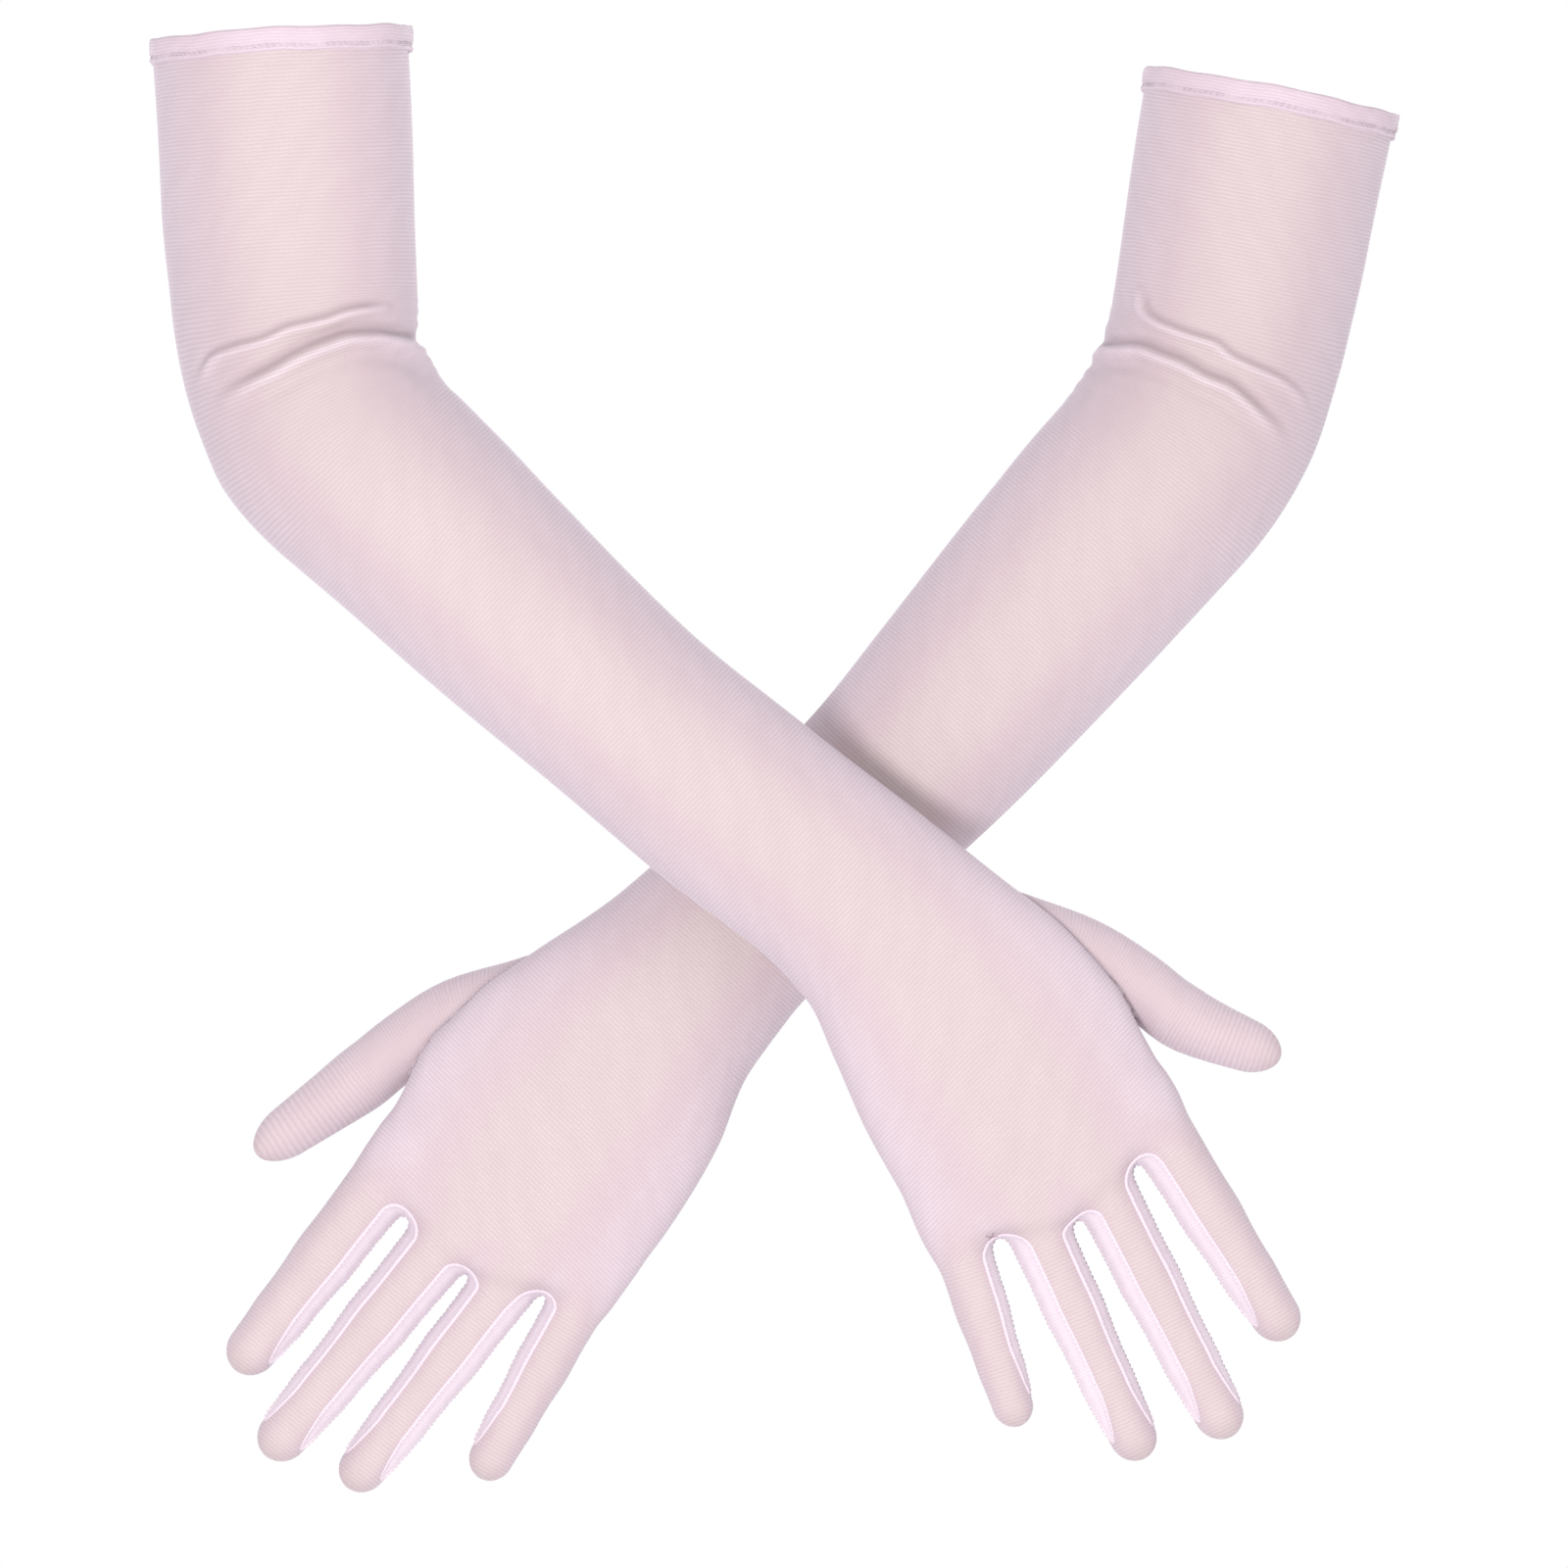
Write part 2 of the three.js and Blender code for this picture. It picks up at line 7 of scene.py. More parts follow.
import bpy
import numpy as np
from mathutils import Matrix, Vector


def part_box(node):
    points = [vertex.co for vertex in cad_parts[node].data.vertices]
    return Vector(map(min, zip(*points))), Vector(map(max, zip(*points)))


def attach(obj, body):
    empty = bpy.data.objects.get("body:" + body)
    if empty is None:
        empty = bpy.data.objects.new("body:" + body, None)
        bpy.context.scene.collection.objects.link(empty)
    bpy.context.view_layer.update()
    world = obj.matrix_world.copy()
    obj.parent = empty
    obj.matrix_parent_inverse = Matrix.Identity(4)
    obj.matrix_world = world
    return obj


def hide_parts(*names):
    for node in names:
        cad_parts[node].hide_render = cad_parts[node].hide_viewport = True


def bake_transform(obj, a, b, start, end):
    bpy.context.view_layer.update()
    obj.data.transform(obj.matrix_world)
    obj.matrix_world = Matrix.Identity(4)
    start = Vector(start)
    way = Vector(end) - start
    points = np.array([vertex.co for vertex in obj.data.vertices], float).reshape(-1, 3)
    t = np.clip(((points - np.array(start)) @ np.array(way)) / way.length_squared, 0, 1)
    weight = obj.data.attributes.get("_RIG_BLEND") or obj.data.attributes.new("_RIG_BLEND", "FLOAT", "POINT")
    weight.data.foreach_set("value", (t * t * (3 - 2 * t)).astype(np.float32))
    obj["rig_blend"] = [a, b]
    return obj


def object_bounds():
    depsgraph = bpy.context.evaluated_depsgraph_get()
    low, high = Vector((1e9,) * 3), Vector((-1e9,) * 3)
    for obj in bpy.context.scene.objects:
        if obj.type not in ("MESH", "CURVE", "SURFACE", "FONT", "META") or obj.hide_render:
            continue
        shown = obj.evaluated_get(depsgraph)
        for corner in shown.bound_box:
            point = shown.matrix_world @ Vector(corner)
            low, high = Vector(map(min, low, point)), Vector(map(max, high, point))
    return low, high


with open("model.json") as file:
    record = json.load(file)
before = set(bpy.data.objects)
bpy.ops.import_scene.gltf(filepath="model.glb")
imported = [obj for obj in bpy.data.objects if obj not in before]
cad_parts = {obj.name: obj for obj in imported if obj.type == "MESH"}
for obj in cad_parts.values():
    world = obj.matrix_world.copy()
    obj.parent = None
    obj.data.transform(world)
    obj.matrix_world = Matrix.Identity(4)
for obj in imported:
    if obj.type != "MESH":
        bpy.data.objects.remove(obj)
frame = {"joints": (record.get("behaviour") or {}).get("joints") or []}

cad_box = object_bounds()
MM = 0.001

# ---- how the gloves hang on their joints
HEM_HEIGHT = 7.0       # turned hem at the arm opening
ELBOW_BEND = 29.0      # cloth that bends, each side of the elbow
WRIST_BEND = 15.0      # cloth that bends, each side of the wrist crease
SLEEVE_END = 25.0      # the sleeve is cut this far short of the wrist crease
TOUCH_GAP = 0.5        # between the two gloves where the forearms cross
FOLD_BACK = 4.0        # a finger folds this far short of its root
FINGER_BEND = 25.0     # cloth of a stall that bends, from where the stall is free
WRIST_DEEP = 19.5      # half depth at the wrist crease
HAND_BOXY = 2.6        # boxiness of the palm's section; 2 is an ellipse

# ---- once round each limb in the knit's map, and along the thumb
ARM_GIRTH, HEM_GIRTH, STALL_GIRTH, THUMB_GIRTH = 224, 240, 54, 60
THUMB_LONG = 110

# ---- outlines: landmark, distance below it, reach to the thumb side, to the other side, half depth
OUTLINE = {
    "left": [
        ("hem", -6, 37.6, 37.8, 38.6), ("hem", 0, 37.4, 37.8, 38.5), ("hem", 42, 35.7, 37.4, 37),
        ("elbow", -20, 34.3, 36.2, 35.3), ("elbow", 0, 33.8, 37.5, 35), ("elbow", 12, 34.2, 37.6, 34.8),
        ("elbow", 36, 34, 37.4, 34), ("elbow", 61, 32.4, 37.5, 32.9), ("elbow", 112, 28.6, 36.2, 29.6),
        ("elbow", 148, 26.2, 34, 27), ("elbow", 182, 28, 30.6, 24),
        ("wrist", -24, 31.4, 29, 21.4), ("wrist", -12, 32.9, 29.9, 20.2), ("wrist", 0, 35.2, 31.4, 19.5),
        ("wrist", 22, 39.8, 40.2, 17.6), ("wrist", 40, 43, 45, 16), ("wrist", 56, 43, 47.9, 14.8),
        ("wrist", 80, 36.8, 50.4, 12.5), ("wrist", 100, 32, 51, 10.5), ("wrist", 116, 30.5, 51.2, 9.5)],
    "right": [
        ("hem", -6, 38.2, 37.5, 38.6), ("hem", 0, 38.1, 37.4, 38.5), ("hem", 49, 37.3, 37.3, 37),
        ("elbow", -23, 36.5, 36, 35.6), ("elbow", 0, 33.4, 37.3, 35), ("elbow", 12, 31.9, 38.7, 34.8),
        ("elbow", 26, 32, 38, 34.2), ("elbow", 52, 31.2, 36.8, 33.2), ("elbow", 76, 29.8, 36, 31.6),
        ("elbow", 131, 28.2, 32.4, 28.2), ("elbow", 172, 31.3, 30.2, 24.4),
        ("wrist", -15, 36.2, 25.6, 20.5), ("wrist", 0, 37.5, 26.8, 19.5), ("wrist", 19, 39.8, 33.5, 17.6),
        ("wrist", 40, 42.5, 41.6, 16), ("wrist", 60, 41.2, 47.3, 14.4), ("wrist", 80, 35.5, 53.2, 12.5),
        ("wrist", 100, 30.3, 52.6, 10.5), ("wrist", 116, 29, 52.6, 9.5)],
}
# ---- where the palm ends between the fingers, as across the hand, below the wrist crease
PALM_END = {
    "left": [(-62, 81), (-33, 89), (-14.6, 100), (10.6, 101), (42, 98)],
    "right": [(-66, 84), (-38.5, 88.5), (-16, 102), (8.1, 102.5), (42, 99)],
}
# ---- thumb: middle line over the hand as (down, across, towards the palm), with half widths
THUMB_LINE = {
    "left": [(12, 20, 2), (30, 30.5, 5), (48, 42.3, 8), (66, 47.2, 9), (85, 49.8, 9), (120, 56, 8)],
    "right": [(12, 20, 2), (30, 30.5, 5), (48, 40.6, 8), (66, 45.6, 9), (85, 48.8, 9), (111.5, 60, 8)],
}
THUMB_HALF = [14, 12.3, 10.6, 9.9, 9.4, 6.8]
THUMB_FREE = 0.79      # share of the thumb's line where it has left the palm
# ---- fingers: half width at root and tip, curl of the tip, length, root to where the stall is free,
# and how far the stall sits to the thumb side of its joint, at its root and at its tip
FINGERS = {
    "left": {"index": (10.1, 7.5, 8, 71.5, 6, 0.5, 0.4), "middle": (10.4, 7.5, 9, 86, 7.5, -2, -1.3),
             "ring": (9.5, 7.1, 10, 83.5, 12.5, -1.6, -1.2), "little": (8.7, 6.6, 8, 63.5, 8, -0.7, -1.5)},
    "right": {"index": (9.8, 7.3, 8, 72, 8, -1, 0.3), "middle": (9.4, 7.3, 9, 86.5, 11, -1.8, 0.8),
              "ring": (9.3, 7, 10, 82, 11, -0.5, 1.2), "little": (8.7, 6, 8, 60, 8.5, -1.4, -0.8)},
}
NAMES = ["index", "middle", "ring", "little"]
FINGER_DEEP = 0.92     # depth over width
THUMB_BEND = 17.0      # cloth of the thumb that bends

# ---- creases at the elbow, as (down, across) from the elbow in the upper arm's line
CREASES = {
    "left": [
        ([(-31, -28), (-26, -26), (-23, -21), (-21, -11), (-20, -3), (-17, 3), (-15, 11), (-13, 19),
          (-9, 26), (-5, 28)], 1.3, 1.0),
        ([(-11, -38), (-13, -30), (-14, -24), (-13, -18), (-12, -12), (-9, -3), (-8, 3), (-5, 9),
          (-2, 14), (2, 20), (7, 23)], 1.9, 1.8)],
    "right": [
        ([(-23, 27), (-22, 17), (-20, 10), (-18, -1), (-15, -9), (-13, -18), (-11, -24), (-7, -27),
          (-3, -29)], 1.3, 1.0),
        ([(-3, 42), (-8, 38), (-12, 32), (-14, 23), (-14, 17), (-12, 9), (-9, 1), (-5, -7),
          (-2, -14), (1, -20), (5, -23)], 2.1, 2.0)],
}

# ---- strips between the fingers
STRIP_HALF = 5.4       # half width over the finger's side
STRIP_TURN = {"left": (-0.52, -0.36), "right": (-0.58, -0.30)}     # towards the back of the hand, radians
STRIP_SHORT = 8.0      # they end this far short of the fingertip
PIPING = 0.48          # how far the sewn edge stands up

# ---- fineness
AROUND = 140           # sides of a sleeve
RING = 1.7             # between a sleeve's rings
FINE_RING = 0.75       # between them at the elbow
GRAIN = 1.25           # cells of the hand's skin

JOINTS = {j["name"]: j for j in frame["joints"]}


def unit(v):
    return v / np.linalg.norm(v)


def units(rows):
    return rows / np.linalg.norm(rows, axis=-1)[..., None]


def flat(v):
    """Without its front-to-back part."""
    return v * np.array([1.0, 0.0, 1.0])


def place(joint):
    return np.array(JOINTS[joint]["pos_m"]) / MM


def node_middle(node):
    low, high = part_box(node)
    return (np.array(low) + np.array(high)) / 2 / MM


def across(down):
    return np.array([-down[2], 0.0, down[0]])


def down_of(joint):
    a = np.array(JOINTS[joint]["axis"], float)
    return unit(np.array([a[2], 0.0, -a[0]]))


def ease(t):
    t = np.clip(t, 0, 1)
    return t * t * (3 - 2 * t)


def mix(a, b, t):
    return a + (b - a) * t


def bump(x, width):
    return np.exp(-((x / width) ** 2))


def about_zero(turn):
    """The same angle, between minus and plus half a turn."""
    return np.where(turn > np.pi, turn - 2 * np.pi, turn)


def curved(p0, p1, p2, p3, t):
    """Along the curve that leaves p0 towards p1 and reaches p3 from p2."""
    return p0 * (1 - t) ** 3 + 3 * p1 * t * (1 - t) ** 2 + 3 * p2 * t * t * (1 - t) + p3 * t ** 3


def flowing(x, at, values):
    """A smooth curve through the table that never swings past its own values."""
    at, values = np.asarray(at, float), np.asarray(values, float)
    step = np.diff(at)
    slope = np.diff(values) / step
    m = np.zeros_like(values)
    same = slope[:-1] * slope[1:] > 0
    harmonic = 2 * slope[:-1] * slope[1:] / np.where(same, slope[:-1] + slope[1:], 1)
    m[1:-1] = np.where(same, harmonic, 0)
    m[0], m[-1] = slope[0], slope[-1]
    x = np.clip(x, at[0], at[-1])
    k = np.clip(np.searchsorted(at, x, side="right") - 1, 0, len(at) - 2)
    t = (x - at[k]) / step[k]
    a, b = values[k], values[k + 1]
    ma, mb = m[k] * step[k], m[k + 1] * step[k]
    t2, t3 = t * t, t * t * t
    return a * (2 * t3 - 3 * t2 + 1) + ma * (t3 - 2 * t2 + t) + b * (3 * t2 - 2 * t3) + mb * (t3 - t2)


def joined(a, b, width):
    """The nearer of two surfaces, run together over this width."""
    return np.minimum(a, b) - np.maximum(width - np.abs(a - b), 0) ** 2 / (4 * width)


# ------------------------------------------------------------------ one glove's measurements


class Glove:
    def __init__(self, name):
        self.name = name
        self.elbow, self.wrist = place(f"{name}_elbow"), place(f"{name}_wrist")
        hem = node_middle(f"{name}_hem_band")
        self.up = unit(flat(self.elbow - hem))
        self.fore = unit(flat(self.wrist - self.elbow))
        self.down = down_of(f"{name}_wrist")
        self.wide = across(self.down)
        self.upper_long = float(np.linalg.norm(flat(self.elbow - hem))) + HEM_HEIGHT / 2
        self.fore_long = float(np.linalg.norm(flat(self.wrist - self.elbow)))
        self.side = float(np.sign((place(f"{name}_thumb_fold") - self.wrist) @ self.wide))
        low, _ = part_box("left_hem_band")
        self.touch = float(low[1]) / MM - TOUCH_GAP / 2
        self.layer = float(np.sign(hem[1] - self.touch))
        marks = {"hem": 0.0, "elbow": self.upper_long, "wrist": self.upper_long + self.fore_long}
        rows = [(marks[m] + at, thumb, other, deep) for m, at, thumb, other, deep in OUTLINE[name]]
        self.at, self.thumb_reach, self.other_reach, self.depth = np.array(rows, float).T
        self.fingers = {n: Finger(self, n) for n in NAMES}
        self.thumb = self.thumb_points()

    def section(self, s):
        """Half width, middle, half depth and front-to-back middle at s below the hem."""
        thumb = flowing(s, self.at, self.thumb_reach)
        other = flowing(s, self.at, self.other_reach)
        deep = flowing(s, self.at, self.depth)
        lie = self.touch + self.layer * (TOUCH_GAP / 2 + np.maximum(deep, WRIST_DEEP))
        return (thumb + other) / 2, (thumb - other) / 2, deep, lie

    def spine(self, s):
        """The arm's middle line at s below the hem, and the way across it to the thumb side."""
        b = ELBOW_BEND
        t = np.clip((s - self.upper_long + b) / (2 * b), 0, 1)[:, None]
        p0, p3 = -b * self.up, b * self.fore
        p1, p2 = p0 * 0.35, p3 * 0.35
        curve = curved(p0, p1, p2, p3, t)
        way = (p1 - p0) * (1 - t) ** 2 + 2 * (p2 - p1) * t * (1 - t) + (p3 - p2) * t * t
        way = units(way)
        before = np.minimum(s - self.upper_long + b, 0)[:, None] * self.up
        after = np.maximum(s - self.upper_long - b, 0)[:, None] * self.fore
        turned = np.stack([-way[:, 2], 0 * way[:, 0], way[:, 0]], 1) * self.side
        return flat(self.elbow) + curve + before + after, turned

    def ring(self, at, turn, out):
        """Places round the arm, this far below the hem and standing off by out, and the way across."""
        middle, wide = self.spine(at)
        half, shift, deep, lie = self.section(at)
        p = middle + (shift + (half + out) * np.cos(turn))[:, None] * wide
        p[:, 1] = lie + (deep + out) * np.sin(turn)
        return p, wide

    def in_frame(self, v):
        """Directions (down, across to the thumb, towards the palm) as directions in the frame."""
        return v[:, :1] * self.down + v[:, 1:2] * self.wide * self.side + v[:, 2:] * np.array([0, 1.0, 0])

    def from_hand(self, p):
        """Hand places, measured the same way from the wrist, as places in the frame."""
        return self.wrist + self.in_frame(p)

    def to_hand(self, p):
        d = p - self.wrist
        return np.stack([d @ self.down, d @ self.wide * self.side, d[..., 1]], -1)

    def tone(self, p):
        """How much painted side shade, and at the rims painted sheen, lies over the hand and on into the
        stalls.
        """
        tone = side_shade_and_sheen(self.palm_place(p)[0])
        for finger in self.fingers.values():
            s, x = finger.along(p)
            own = ease((s + 8) / (finger.cut + 14)) * ease((finger.half + 3.5 - np.abs(x)) / 2.5)
            tone = mix(tone, 0.8 * side_shade_and_sheen(x / finger.girth(s)), own)
        return tone

    def thumb_points(self, steps=30):
        """Points along the thumb's middle line, with their half widths."""
        keys = np.array(THUMB_LINE[self.name], float)
        n = len(keys) - 1
        t = np.linspace(0, n, steps + 1)
        k = np.minimum(t.astype(int), n - 1)
        f = (t - k)[:, None]
        ends = np.vstack([2 * keys[0] - keys[1], keys, 2 * keys[-1] - keys[-2]])
        a, b, c, d = ends[k], ends[k + 1], ends[k + 2], ends[k + 3]
        line = 0.5 * (2 * b + (c - a) * f + (2 * a - 5 * b + 4 * c - d) * f ** 2
                      + (3 * b - a - 3 * c + d) * f ** 3)
        return line, flowing(t, np.arange(n + 1), THUMB_HALF)

    # -------- surfaces of the hand: distance outside them, at hand places

    def arm_place(self, p):
        """Distance below the wrist along the arm, and across it, easing from forearm into hand."""
        h, v = p[:, 0], p[:, 1]
        fh, fv = self.fore @ self.down, (self.fore @ self.wide) * self.side
        w = ease((h + WRIST_BEND) / (2 * WRIST_BEND))
        return mix(h * fh + v * fv, h, w), mix(v * fh - h * fv, v, w)

    def palm_place(self, p):
        """Place in the palm's section, its middle at 0 and its edge at 1, the section's half width, half
        depth and boxiness, and the distance below the wrist."""
        q, x = self.arm_place(p)
        half, middle, deep, lie = self.section(q + self.upper_long + self.fore_long)
        boxy = mix(2.0, HAND_BOXY, np.clip(q / 40, 0, 1))
        return (x - middle) / half, (p[:, 2] - lie + self.wrist[1]) / deep, half, deep, boxy, q

    def palm(self, p):
        x, y, half, deep, boxy, _ = self.palm_place(p)
        ax, ay = np.abs(x) + 1e-6, np.abs(y) + 1e-6
        rho = (ax ** boxy + ay ** boxy) ** (1 / boxy)
        steep = np.hypot((ax / rho) ** (boxy - 1) / half, (ay / rho) ** (boxy - 1) / deep)
        out = (rho - 1) / np.maximum(steep, 1 / half)
        ends = np.array(PALM_END[self.name], float)
        beyond = p[:, 0] - flowing(p[:, 1], ends[:, 0], ends[:, 1])
        out = -joined(-out, -beyond, 7.0)
        return out - self.relief(p)

    def relief(self, p):
        """Knuckles and the cords behind them, on the back of the hand, as the mesh shows them."""
        back = ease(-p[:, 2] / 6)
        height = np.zeros(len(p))
        for finger in self.fingers.values():
            s, x = finger.along(p)
            height += 0.8 * bump(s + 15, 7) * bump(x, 6.5)
            height += 0.2 * bump(x - 0.06 * (s + 15), 2.6) * ease((-s - 12) / 14) * ease((s + 82) / 26)
        return height * back

    def thumb_place(self, p):
        """Share of the thumb's line, place sideways and in depth from it, and half width there."""
        line, half = self.thumb
        best = np.full(len(p), 1e9)
        t = np.zeros(len(p))
        off = np.zeros((len(p), 3))
        for k in range(len(line) - 1):
            way = line[k + 1] - line[k]
            f = ((p - line[k]) @ way) / (way @ way)
            f = np.clip(f, -5 if k == 0 else 0, 9 if k == len(line) - 2 else 1)
            gap = p - line[k] - f[:, None] * way
            d = (gap ** 2).sum(1)
            near = d < best
            best[near], off[near], t[near] = d[near], gap[near], (k + f[near]) / (len(line) - 1)
        at = np.clip(t, 0, 1) * (len(line) - 1)
        way = line[1:] - line[:-1]
        k = np.minimum(at.astype(int), len(way) - 1)
        sideways = units(np.stack([-way[k, 1], way[k, 0], 0 * way[k, 0]], 1))
        return t, (off * sideways).sum(1), off[:, 2], np.interp(at, np.arange(len(half)), half)

    def thumb_skin(self, p):
        t, x, y, half = self.thumb_place(p)
        line = self.thumb[0]
        long = np.linalg.norm(np.diff(line, axis=0), axis=1).sum()
        round_from = 1 - THUMB_HALF[-1] * 1.05 / long
        over = np.maximum(t - round_from, 0) / (1 - round_from)
        half = half + 0.35 * bump((t - 0.78) * long, 6)     # fuller at the thumb's own joint
        rho = np.sqrt((x / half) ** 2 + (y / (half * FINGER_DEEP)) ** 2 + over ** 2)
        return (rho - 1) * half

    def rest_of_hand(self, p):
        stalls = None
        for finger in self.fingers.values():
            d = finger.skin(p)
            stalls = d if stalls is None else joined(stalls, d, 1.6)
        return joined(self.palm(p), stalls, 4.5)

    def skin(self, p):
        rest, thumb = self.rest_of_hand(p), self.thumb_skin(p)
        return joined(rest, thumb, 2.0) + 0.6 * bump(rest - thumb, 0.9) * bump(thumb, 3)

    def thumb_seam(self, p):
        """1 along the line where the thumb is set into the hand, falling to 0 beside it."""
        return bump(self.rest_of_hand(p) - self.thumb_skin(p), 0.9) * bump(self.thumb_skin(p), 3)

    def outward(self, p, skin=None, step=0.15):
        skin = skin or self.skin
        g = np.stack([skin(p + d) - skin(p - d) for d in np.eye(3) * step], 1)
        return g / (2 * step)

    def settle(self, p, rounds=4, keep_depth=False):
        """Moves hand places onto the glove's surface."""
        p = p.copy()
        for _ in range(rounds):
            g = self.outward(p)
            if keep_depth:
                g[:, 2] = 0
            move = self.skin(p)[:, None] * g / np.maximum((g ** 2).sum(1), 0.15)[:, None]
            far = np.maximum(np.linalg.norm(move, axis=1) / 1.5, 1)[:, None]
            p -= move / far
        return p


class Finger:
    """One stall, in the hand's own places."""

    def __init__(self, glove, name):
        joint = f"{glove.name}_{name}_knuckle"
        self.name, self.body = name, f"{glove.name}_{name}"
        self.half, self.tip, self.curl, self.long, self.free, *self.aside = FINGERS[glove.name][name]
        self.fold = glove.to_hand(place(joint)[None])[0]
        way = down_of(joint)
        self.way = unit(np.array([way @ glove.down, (way @ glove.wide) * glove.side]))
        self.out = np.array([-self.way[1], self.way[0]])
        self.reach = FOLD_BACK + self.long
        self.cut = FOLD_BACK + self.free

    def along(self, p):
        d = p[:, :2] - self.fold[:2]
        s = d @ self.way
        return s, d @ self.out - self.lie(s)

    def lie(self, s):
        return mix(*self.aside, np.clip(s / self.reach, 0, 1))

    def sink(self, s):
        return self.fold[2] + self.curl * (np.maximum(s, 0) / self.reach) ** 2

    def girth(self, s):
        """Half width, a little fuller at the finger's own joints."""
        t = np.clip((s - FOLD_BACK) / self.long, 0, 1)
        swell = 0.45 * bump((t - 0.40) * self.long, 7) + 0.25 * bump((t - 0.70) * self.long, 5)
        return mix(self.half, self.tip, t) - 0.25 + swell

    def skin(self, p):
        s, x = self.along(p)
        half = self.girth(s)
        end = self.reach - self.tip * 1.05
        over = np.maximum(s - end, 0) / (self.reach - end)
        under = np.maximum(-8 - s, 0) / 9
        y = (p[:, 2] - self.sink(s)) / (half * FINGER_DEEP)
        return (np.sqrt((x / half) ** 2 + y ** 2 + over ** 2 + under ** 2) - 1) * half

    def side_point(self, s, way, turn):
        """A place on the stall's side, way 1 on the thumb side and -1 on the other, turned about the
        finger by this angle, which is negative towards the back of the hand."""
        x = way * self.girth(s) * np.cos(turn) + self.lie(s)
        hv = self.fold[:2] + s[..., None] * self.way + x[..., None] * self.out
        depth = self.sink(s) + self.girth(s) * FINGER_DEEP * np.sin(turn)
        return np.concatenate([hv, depth[..., None]], -1)


# ------------------------------------------------------------------ meshes


def new_piece(name, points, faces, material, normals=None):
    """A smooth mesh from points in millimetres."""
    mesh = bpy.data.meshes.new(name)
    points = np.asarray(points, float) * MM
    faces = np.asarray(faces, np.int32)
    mesh.vertices.add(len(points))
    mesh.vertices.foreach_set("co", points.ravel())
    mesh.loops.add(faces.size)
    mesh.loops.foreach_set("vertex_index", faces.ravel())
    mesh.polygons.add(len(faces))
    mesh.polygons.foreach_set("loop_start", np.arange(len(faces), dtype=np.int32) * faces.shape[1])
    mesh.update(calc_edges=True)
    mesh.validate()
    mesh.shade_smooth()
    if normals is not None:
        mesh.normals_split_custom_set_from_vertices([tuple(n) for n in normals])
    mesh.materials.append(material)
    piece = bpy.data.objects.new(name, mesh)
    bpy.context.scene.collection.objects.link(piece)
    return piece


def lay_knit(piece, u, v, girth):
    """The knit's own map in centimetres: u round the limb, v along it. girth is once round."""
    mesh = piece.data
    corner = np.zeros(len(mesh.loops), np.int32)
    mesh.loops.foreach_get("vertex_index", corner)
    size = len(mesh.polygons[0].vertices)
    cu = np.asarray(u, float)[corner].reshape(-1, size)
    split = (cu.max(1) - cu.min(1)) > girth / 2
    cu = np.where(split[:, None] & (cu < 0), cu + girth, cu)
    uv = np.stack([cu.ravel(), np.asarray(v, float)[corner]], 1) / 10
    layer = mesh.uv_layers.new(name="Knit")
    layer.uv.foreach_set("vector", uv.ravel().astype(np.float32))


def wrap_knit(piece, turn, along, girth):
    """The same, from the angle round a limb."""
    lay_knit(piece, turn / (2 * np.pi) * girth, along, girth)


def paint(piece, name, values):
    field = piece.data.attributes.new(name, "FLOAT", "POINT")
    field.data.foreach_set("value", np.asarray(values, np.float32))


def grid_faces(rows, columns, closed):
    r, c = np.meshgrid(np.arange(rows - 1), np.arange(columns if closed else columns - 1), indexing="ij")
    a = r * columns + c
    b = r * columns + (c + 1) % columns
    return np.stack([a, b, b + columns, a + columns], -1).reshape(-1, 4)


def face_normals(points, faces):
    corners = points[faces]
    return np.cross(corners[:, 1] - corners[:, 0], corners[:, 2] - corners[:, 0])


def facing_out(points, faces, middle_of):
    """The faces, all turned over if on the whole they look towards their middles."""
    away = (face_normals(points, faces) * (points[faces].mean(1) - middle_of)).sum(1)
    return faces if away.sum() > 0 else faces[:, ::-1]


def facing_with(points, faces, normals):
    """The faces, all turned over if on the whole they look against the normals."""
    along = (face_normals(points, faces) * normals[faces[:, 0]]).sum()
    return faces if along >= 0 else faces[:, ::-1]


def skin_over(field, low, high, step):
    """Squares over the surface where field is nought, one point in each cell it passes through."""
    counts = np.ceil((high - low) / step).astype(int) + 1
    axes = [low[k] + step * np.arange(counts[k]) for k in range(3)]
    grid = np.stack(np.meshgrid(*axes, indexing="ij"), -1).reshape(-1, 3)
    inside = (field(grid) < 0).reshape(counts)
    n = counts - 1
    corners = [inside[i:i + n[0], j:j + n[1], k:k + n[2]]
               for i in (0, 1) for j in (0, 1) for k in (0, 1)]
    count = sum(c.astype(np.int8) for c in corners)
    crossed = (count > 0) & (count < 8)
    number = np.full(n, -1)
    number[crossed] = np.arange(crossed.sum())
    points = (np.argwhere(crossed) + 0.5) * step + low
    faces = []
    for axis in range(3):
        other = [a for a in range(3) if a != axis]
        first = [slice(1, -1)] * 3
        first[axis] = slice(0, -1)
        second = list(first)
        second[axis] = slice(1, None)
        a, b = inside[tuple(first)], inside[tuple(second)]
        spots = np.argwhere(a != b)
        spots[:, other] += 1
        turned = a[a != b]
        ring = []
        for du, dv in ((0, 0), (-1, 0), (-1, -1), (0, -1)):
            c = spots.copy()
            c[:, other[0]] += du
            c[:, other[1]] += dv
            ring.append(number[c[:, 0], c[:, 1], c[:, 2]])
        ring = np.stack(ring, 1)
        if axis == 1:
            turned = ~turned
        ring[~turned] = ring[~turned][:, ::-1]
        faces.append(ring)
    faces = np.vstack(faces)
    return points, faces[(faces >= 0).all(1)]


